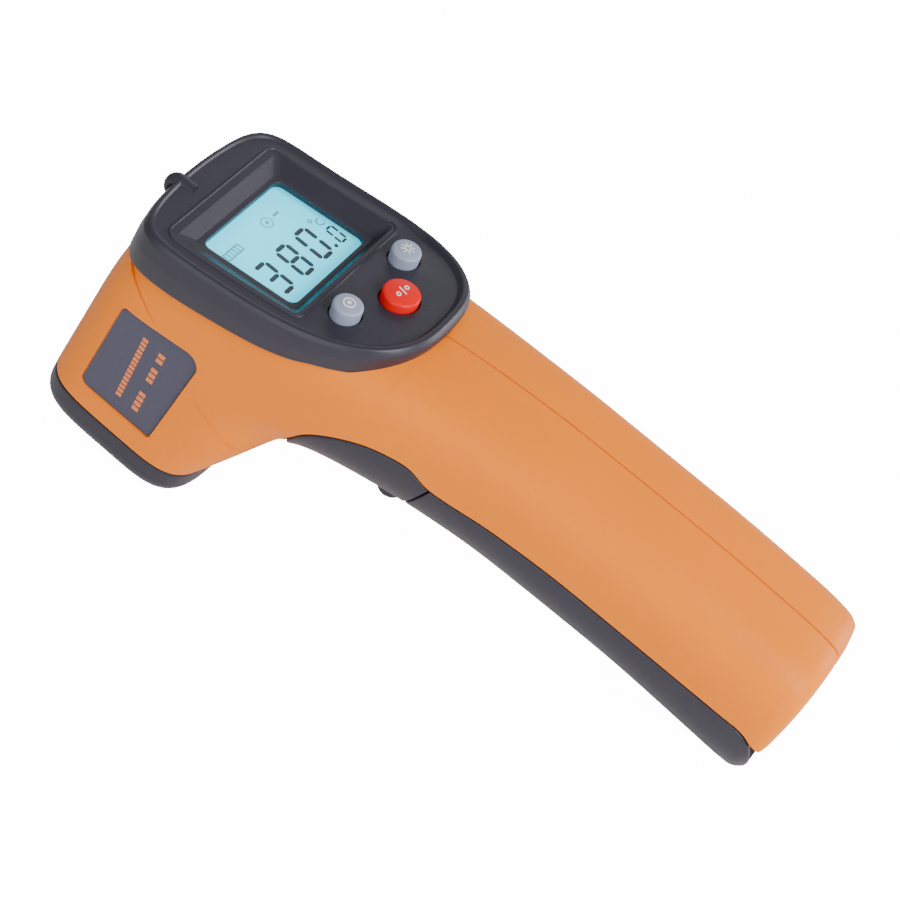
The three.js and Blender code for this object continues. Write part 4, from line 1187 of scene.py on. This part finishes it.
def optics():
    """Lens barrel, lens, sensor, laser module and its lens, turned about the nose's axes."""
    wall = [(-12.4, 5.9), (-12.4, 7.0), (-12.2, 7.2), (-0.4, 7.2), (-0.2, 7.0), (-0.2, 5.9)]
    can = [(-11.8, 0), (-11.8, 4.6), (-11.2, 4.6), (-11.2, 4.1), (-7.8, 4.1), (-7.4, 3.7),
           (-7.4, 1.5), (-7.7, 1.5), (-7.7, 0)]
    module = [(-11.8, 0), (-11.8, 3.0), (-11.6, 3.2), (2.4, 3.2), (2.6, 3.0), (2.6, 1.5),
              (1.6, 1.5), (1.6, 0)]
    dome = [(3.6, 0), (3.6, 1.6), (4.2, 1.6)]
    for a in np.linspace(0.05, math.pi / 2, 10):
        dome.append((4.2 + 0.6 * math.sin(a), 1.6 * math.cos(a)))
    for name, shape, finish, slot, node in (
        ("lens_tube", turned(wall, 72, APERTURE, hollow=True), BLACK, "black_plastic", "lens_barrel"),
        ("ir_lens_disc", turned(lens_profile(), 72, APERTURE), LENS, "lens", "ir_lens"),
        ("thermopile_can", turned(can, 48, APERTURE), STEEL, "steel", "thermopile_sensor"),
        ("laser_body", turned(module, 48, LASER), BRASS, "brass", "laser_module"),
        ("laser_lens_dome", turned(dome, 48, LASER), LENS, "lens", "laser_lens"),
    ):
        piece(name, *shape, finish, slot, node, axes=BARREL)


# ------------------------------------------------------------------ trigger
def rounded_extrusion(outline, low, high, radius, steps=8):
    """A side profile extruded across the tool with rounded edges."""
    outline = np.array(outline, float)
    before, after = np.roll(outline, 1, axis=0), np.roll(outline, -1, axis=0)
    way = after - before
    way /= np.linalg.norm(way, axis=1, keepdims=True)
    area = 0.5 * np.sum(outline[:, 0] * after[:, 1] - after[:, 0] * outline[:, 1])
    inward = np.column_stack([-way[:, 1], way[:, 0]]) * np.sign(area)
    rows = []
    for a in np.linspace(0, math.pi / 2, steps):
        rows.append((low + radius * (1 - math.sin(a)), radius * (1 - math.cos(a))))
    rows = rows[::-1] + [(high + low - y, inset) for y, inset in rows]
    rings = []
    for y, inset in rows:
        flat = outline + inward * inset
        rings.append(np.column_stack([flat[:, 0], np.full(len(flat), y), flat[:, 1]]))
    return stacked(rings)


def rounded_outline(points, rounds):
    """Corner-cut a closed outline a few times, then space it evenly."""
    points = np.array(points, float)
    for _ in range(rounds):
        after = np.roll(points, -1, axis=0)
        cut = np.stack([0.75 * points + 0.25 * after, 0.25 * points + 0.75 * after], 1)
        points = cut.reshape(-1, 2)
    closed = np.vstack([points, points[:1]])
    run = run_along(closed)
    at = np.linspace(0, run[-1], 160, endpoint=False)
    return np.column_stack([np.interp(at, run, closed[:, 0]), np.interp(at, run, closed[:, 1])])


PIN_BORE = 1.3  # radius of the trigger's hole for its pin
SPRING_SEAT = (27.9, -4.6)
SPRING_WELL = (2.0, 5.8)  # radius and depth
SPRING_WIRE, SPRING_RADIUS, SPRING_TURNS = 0.22, 1.3, 6.0
PIN = [(-7.0, 0), (-7.0, 0.8), (-6.8, 1.0), (6.8, 1.0), (7.0, 0.8), (7.0, 0)]


def spring_well():
    """The bore that the trigger's spring sits in, upright in the row frame."""
    foot = place([[SPRING_SEAT[0], 0, SPRING_SEAT[1]]])[0]
    radius, depth = SPRING_WELL
    shape, quads = lathe([(0, 0), (0, radius), (depth, radius), (depth, 0)], 40)
    return outwards(np.stack([shape[:, 1], shape[:, 2], shape[:, 0]], -1) * MM + foot, quads)


def trigger():
    """The finger lever on its pin."""
    x, z = TRIGGER_PIVOT
    hub = [(x + 3.2 * math.cos(a), z + 3.2 * math.sin(a)) for a in np.radians([150, 120, 90, 60])]
    face = [(34.4, 10.6), (35.8, 8.2), (36.35, 5.2), (36.1, 2.4), (36.6, -0.2), (38.3, -2.6),
            (40.4, -4.2), (40.9, -5.8), (40.0, -7.8), (38.2, -8.8)]
    back = [(31.0, -8.2), (26.6, -7.2), (24.9, 2.5)]
    lever = rounded_extrusion(rounded_outline(hub + face + back, 3), -5.0, 5.0, 1.0)
    blade = piece("trigger_blade", *lever, BLACK, "black_plastic", "trigger", "trigger")
    bore = [(-12, 0), (-12, PIN_BORE), (12, PIN_BORE), (12, 0)]
    boolean(blade, cutter(*turned_across(bore, TRIGGER_PIVOT)))
    boolean(blade, row_cutter(*spring_well()))
    piece("trigger_pin_rod", *turned_across(PIN, TRIGGER_PIVOT), STEEL, "steel", "trigger_pin")


def spring():
    """The trigger's spring, upright in the row frame, as a coil with flat ends."""
    low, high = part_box("trigger_spring")
    centre = (low + high) / 2
    foot, top = low.z / MM + SPRING_WIRE, high.z / MM - SPRING_WIRE
    t = np.linspace(0, 1, 300)
    rise = foot + (top - foot) * np.clip((t - 0.1) / 0.8, 0, 1)
    angle = 2 * math.pi * SPRING_TURNS * t
    x = centre.x / MM + SPRING_RADIUS * np.cos(angle)
    y = centre.y / MM + SPRING_RADIUS * np.sin(angle)
    points, faces = tube(np.column_stack([x, y, rise]), SPRING_WIRE, SPRING_WIRE, 10)
    coil = mesh_object("trigger_coil", points * MM, faces)
    coil.data.shade_smooth()
    dress(coil, STEEL, "case", "trigger_spring")
    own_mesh(coil)


def plunger():
    """The plunger of the trigger's switch, which moves with the trigger."""
    tip = [(19.9, 0), (19.9, 1.2), (20.1, 1.4), (24.2, 1.4)]
    for a in np.linspace(0.3, math.pi / 2, 6):
        tip.append((24.2 + 0.4 * math.sin(a), 1.4 - 0.4 * (1 - math.cos(a))))
    rod = turned([*tip, (24.6, 0)], 40, (0.0, 1.0))
    piece("switch_plunger_rod", *rod, WHITE, "white_plastic", "trigger_plunger", "switch_plunger")


# ------------------------------------------------------------------ battery bay
HINGE_PIN = [(-10.8, 0), (-10.8, 0.8), (-10.6, 1.0), (10.6, 1.0), (10.8, 0.8), (10.8, 0)]
CELL_X, CELL_RADIUS = 20.5, 5.2
CELLS = [("left", 5.7, -76.0, -31.5, 1), ("right", -5.7, -79.1, -34.6, -1)]  # y, ends and way up


def knuckles():
    """The door's two knuckles with their arms, and the pin through them."""
    x, z = DOOR_PIVOT
    shapes = []
    for y in (-10.5, 7.5):
        rows = [(y, 1.35), (y, 2.1), (y + 0.2, 2.3), (y + 2.8, 2.3), (y + 3, 2.1), (y + 3, 1.35)]
        shapes.append(turned_across(rows, DOOR_PIVOT, 48, hollow=True))
        arm = [(x + 1.9, z - 1.3), (x + 1.9, z + 1.3), (29.3, z + 1.7), (29.3, z - 1.7)]
        shapes.append(prism(arm, y + 0.02, y + 2.98))
    piece("door_knuckles", *joined(shapes), BLACK, "black_plastic", body="battery_door")
    piece("door_pin_rod", *turned_across(HINGE_PIN, DOOR_PIVOT), STEEL, "steel", "door_hinge_pin")


def cells():
    """Two AAA cells, one each way up: jacket with two bands, and the cap at its positive end."""
    for name, y, low, high, up in CELLS:
        length = high - low
        top = length - 0.8
        jacket = [(0.0, 0), (0.0, 4.3), (0.12, 4.75), (0.5, 5.12), (0.8, CELL_RADIUS),
                  (top - 0.7, CELL_RADIUS), (top - 0.35, 5.12), (top - 0.1, 4.8), (top, 4.4),
                  (top - 0.15, 4.2), (top - 0.15, 0)]
        cap = [(top - 0.16, 0), (top - 0.16, 4.1), (top - 0.05, 4.0), (top - 0.05, 2.3),
               (top + 0.1, 1.95), (top + 0.65, 1.9), (length, 1.6), (length, 0)]
        parts = [("jacket", jacket, CELL, f"cell_{name}"), ("cap", cap, STEEL, None)]
        for number, (start, end) in enumerate(((4.0, 6.0), (top - 9.0, top - 7.6)), start=1):
            band = [(start, 5.1), (start, 5.23), (end, 5.23), (end, 5.1)]
            parts.append((f"band_{number}", band, CELL_BAND, None))
        for part, profile, finish, node in parts:
            shape, faces = turned(profile, 72, hollow=part.startswith("band"))
            along = low + shape[:, 0] if up > 0 else high - shape[:, 0]
            stood = np.stack([CELL_X + shape[:, 1], y + shape[:, 2], along], -1)
            piece(f"cell_{name}_{part}", *outwards(stood, faces), finish, "cell_jacket", node)


bezel()
optics()
trigger()
spring()
plunger()
knuckles()
cells()

# ------------------------------------------------------------------ stage, light and camera
CAMERA_AT = (-326.0, 324.0, -46.7)
CAMERA_RIGHT = (-0.3892, -0.5044, -0.7707)
CAMERA_DOWN = (0.5602, 0.5346, -0.6328)
CAMERA_FORWARD = (0.7312, -0.6781, 0.0745)
FLOOR_REACH = 6  # metres each way
FLOOR_GLOW = 14.0  # seen by the camera only, for a white ground
WORLD_STRENGTH = 0.42
LAMPS = [  # name, place, size and power
    ("key", (-0.85, 0.30, 0.62), 0.6, 15),
    ("fill", (0.05, 1.0, 0.40), 0.9, 5.5),
    ("rim", (0.3, -0.9, 0.5), 0.6, 1.2),
    ("low_back", (-0.85, -0.80, 0.14), 0.7, 12),
]
LAMP_TARGET = Vector((0, 0, 0.03))


def add_to_scene(name, data):
    obj = bpy.data.objects.new(name, data)
    bpy.context.scene.collection.objects.link(obj)
    return obj


def camera():
    """The fitted viewpoint: place and axes in the tool's frame."""
    data = bpy.data.cameras.new("camera")
    data.lens, data.sensor_width = 100, 36
    data.clip_start, data.clip_end = 0.01, 20
    obj = add_to_scene("camera", data)
    axes = TOOL.to_3x3() * (1 / MM)
    columns = [axes @ Vector(CAMERA_RIGHT), axes @ -Vector(CAMERA_DOWN), axes @ -Vector(CAMERA_FORWARD)]
    turned_to = Matrix(columns).transposed().to_4x4()
    obj.matrix_world = Matrix.Translation(TOOL @ Vector(CAMERA_AT)) @ turned_to
    bpy.context.scene.camera = obj


def lamps():
    for name, at, size, power in LAMPS:
        data = bpy.data.lights.new(name, "AREA")
        data.shape, data.size, data.energy = "DISK", size, power
        obj = add_to_scene(name, data)
        obj.location = at
        obj.rotation_euler = (LAMP_TARGET - Vector(at)).to_track_quat("-Z", "Y").to_euler()


def stage():
    """A white floor in a white room."""
    reach = FLOOR_REACH
    corners = [(-reach, -reach, 0), (reach, -reach, 0), (reach, reach, 0), (-reach, reach, 0)]
    floor = mesh_object("floor", corners, [(0, 1, 2, 3)])
    white = material("white_floor", (0.9, 0.9, 0.9), 0.8, shade=0.005)
    nodes, links = white.node_tree.nodes, white.node_tree.links
    shader = nodes["Principled BSDF"]
    path = nodes.new("ShaderNodeLightPath")
    glow = nodes.new("ShaderNodeMath")
    glow.operation = "MULTIPLY"
    glow.inputs[1].default_value = FLOOR_GLOW
    links.new(path.outputs["Is Camera Ray"], glow.inputs[0])
    links.new(glow.outputs["Value"], shader.inputs["Emission Strength"])
    shader.inputs["Emission Color"].default_value = (1, 1, 1, 1)
    floor.data.materials.append(white)
    world = bpy.data.worlds.new("studio")
    world.use_nodes = True
    sky = world.node_tree.nodes["Background"]
    sky.inputs["Color"].default_value = (1, 1, 1, 1)
    sky.inputs["Strength"].default_value = WORLD_STRENGTH
    bpy.context.scene.world = world


camera()
stage()
lamps()
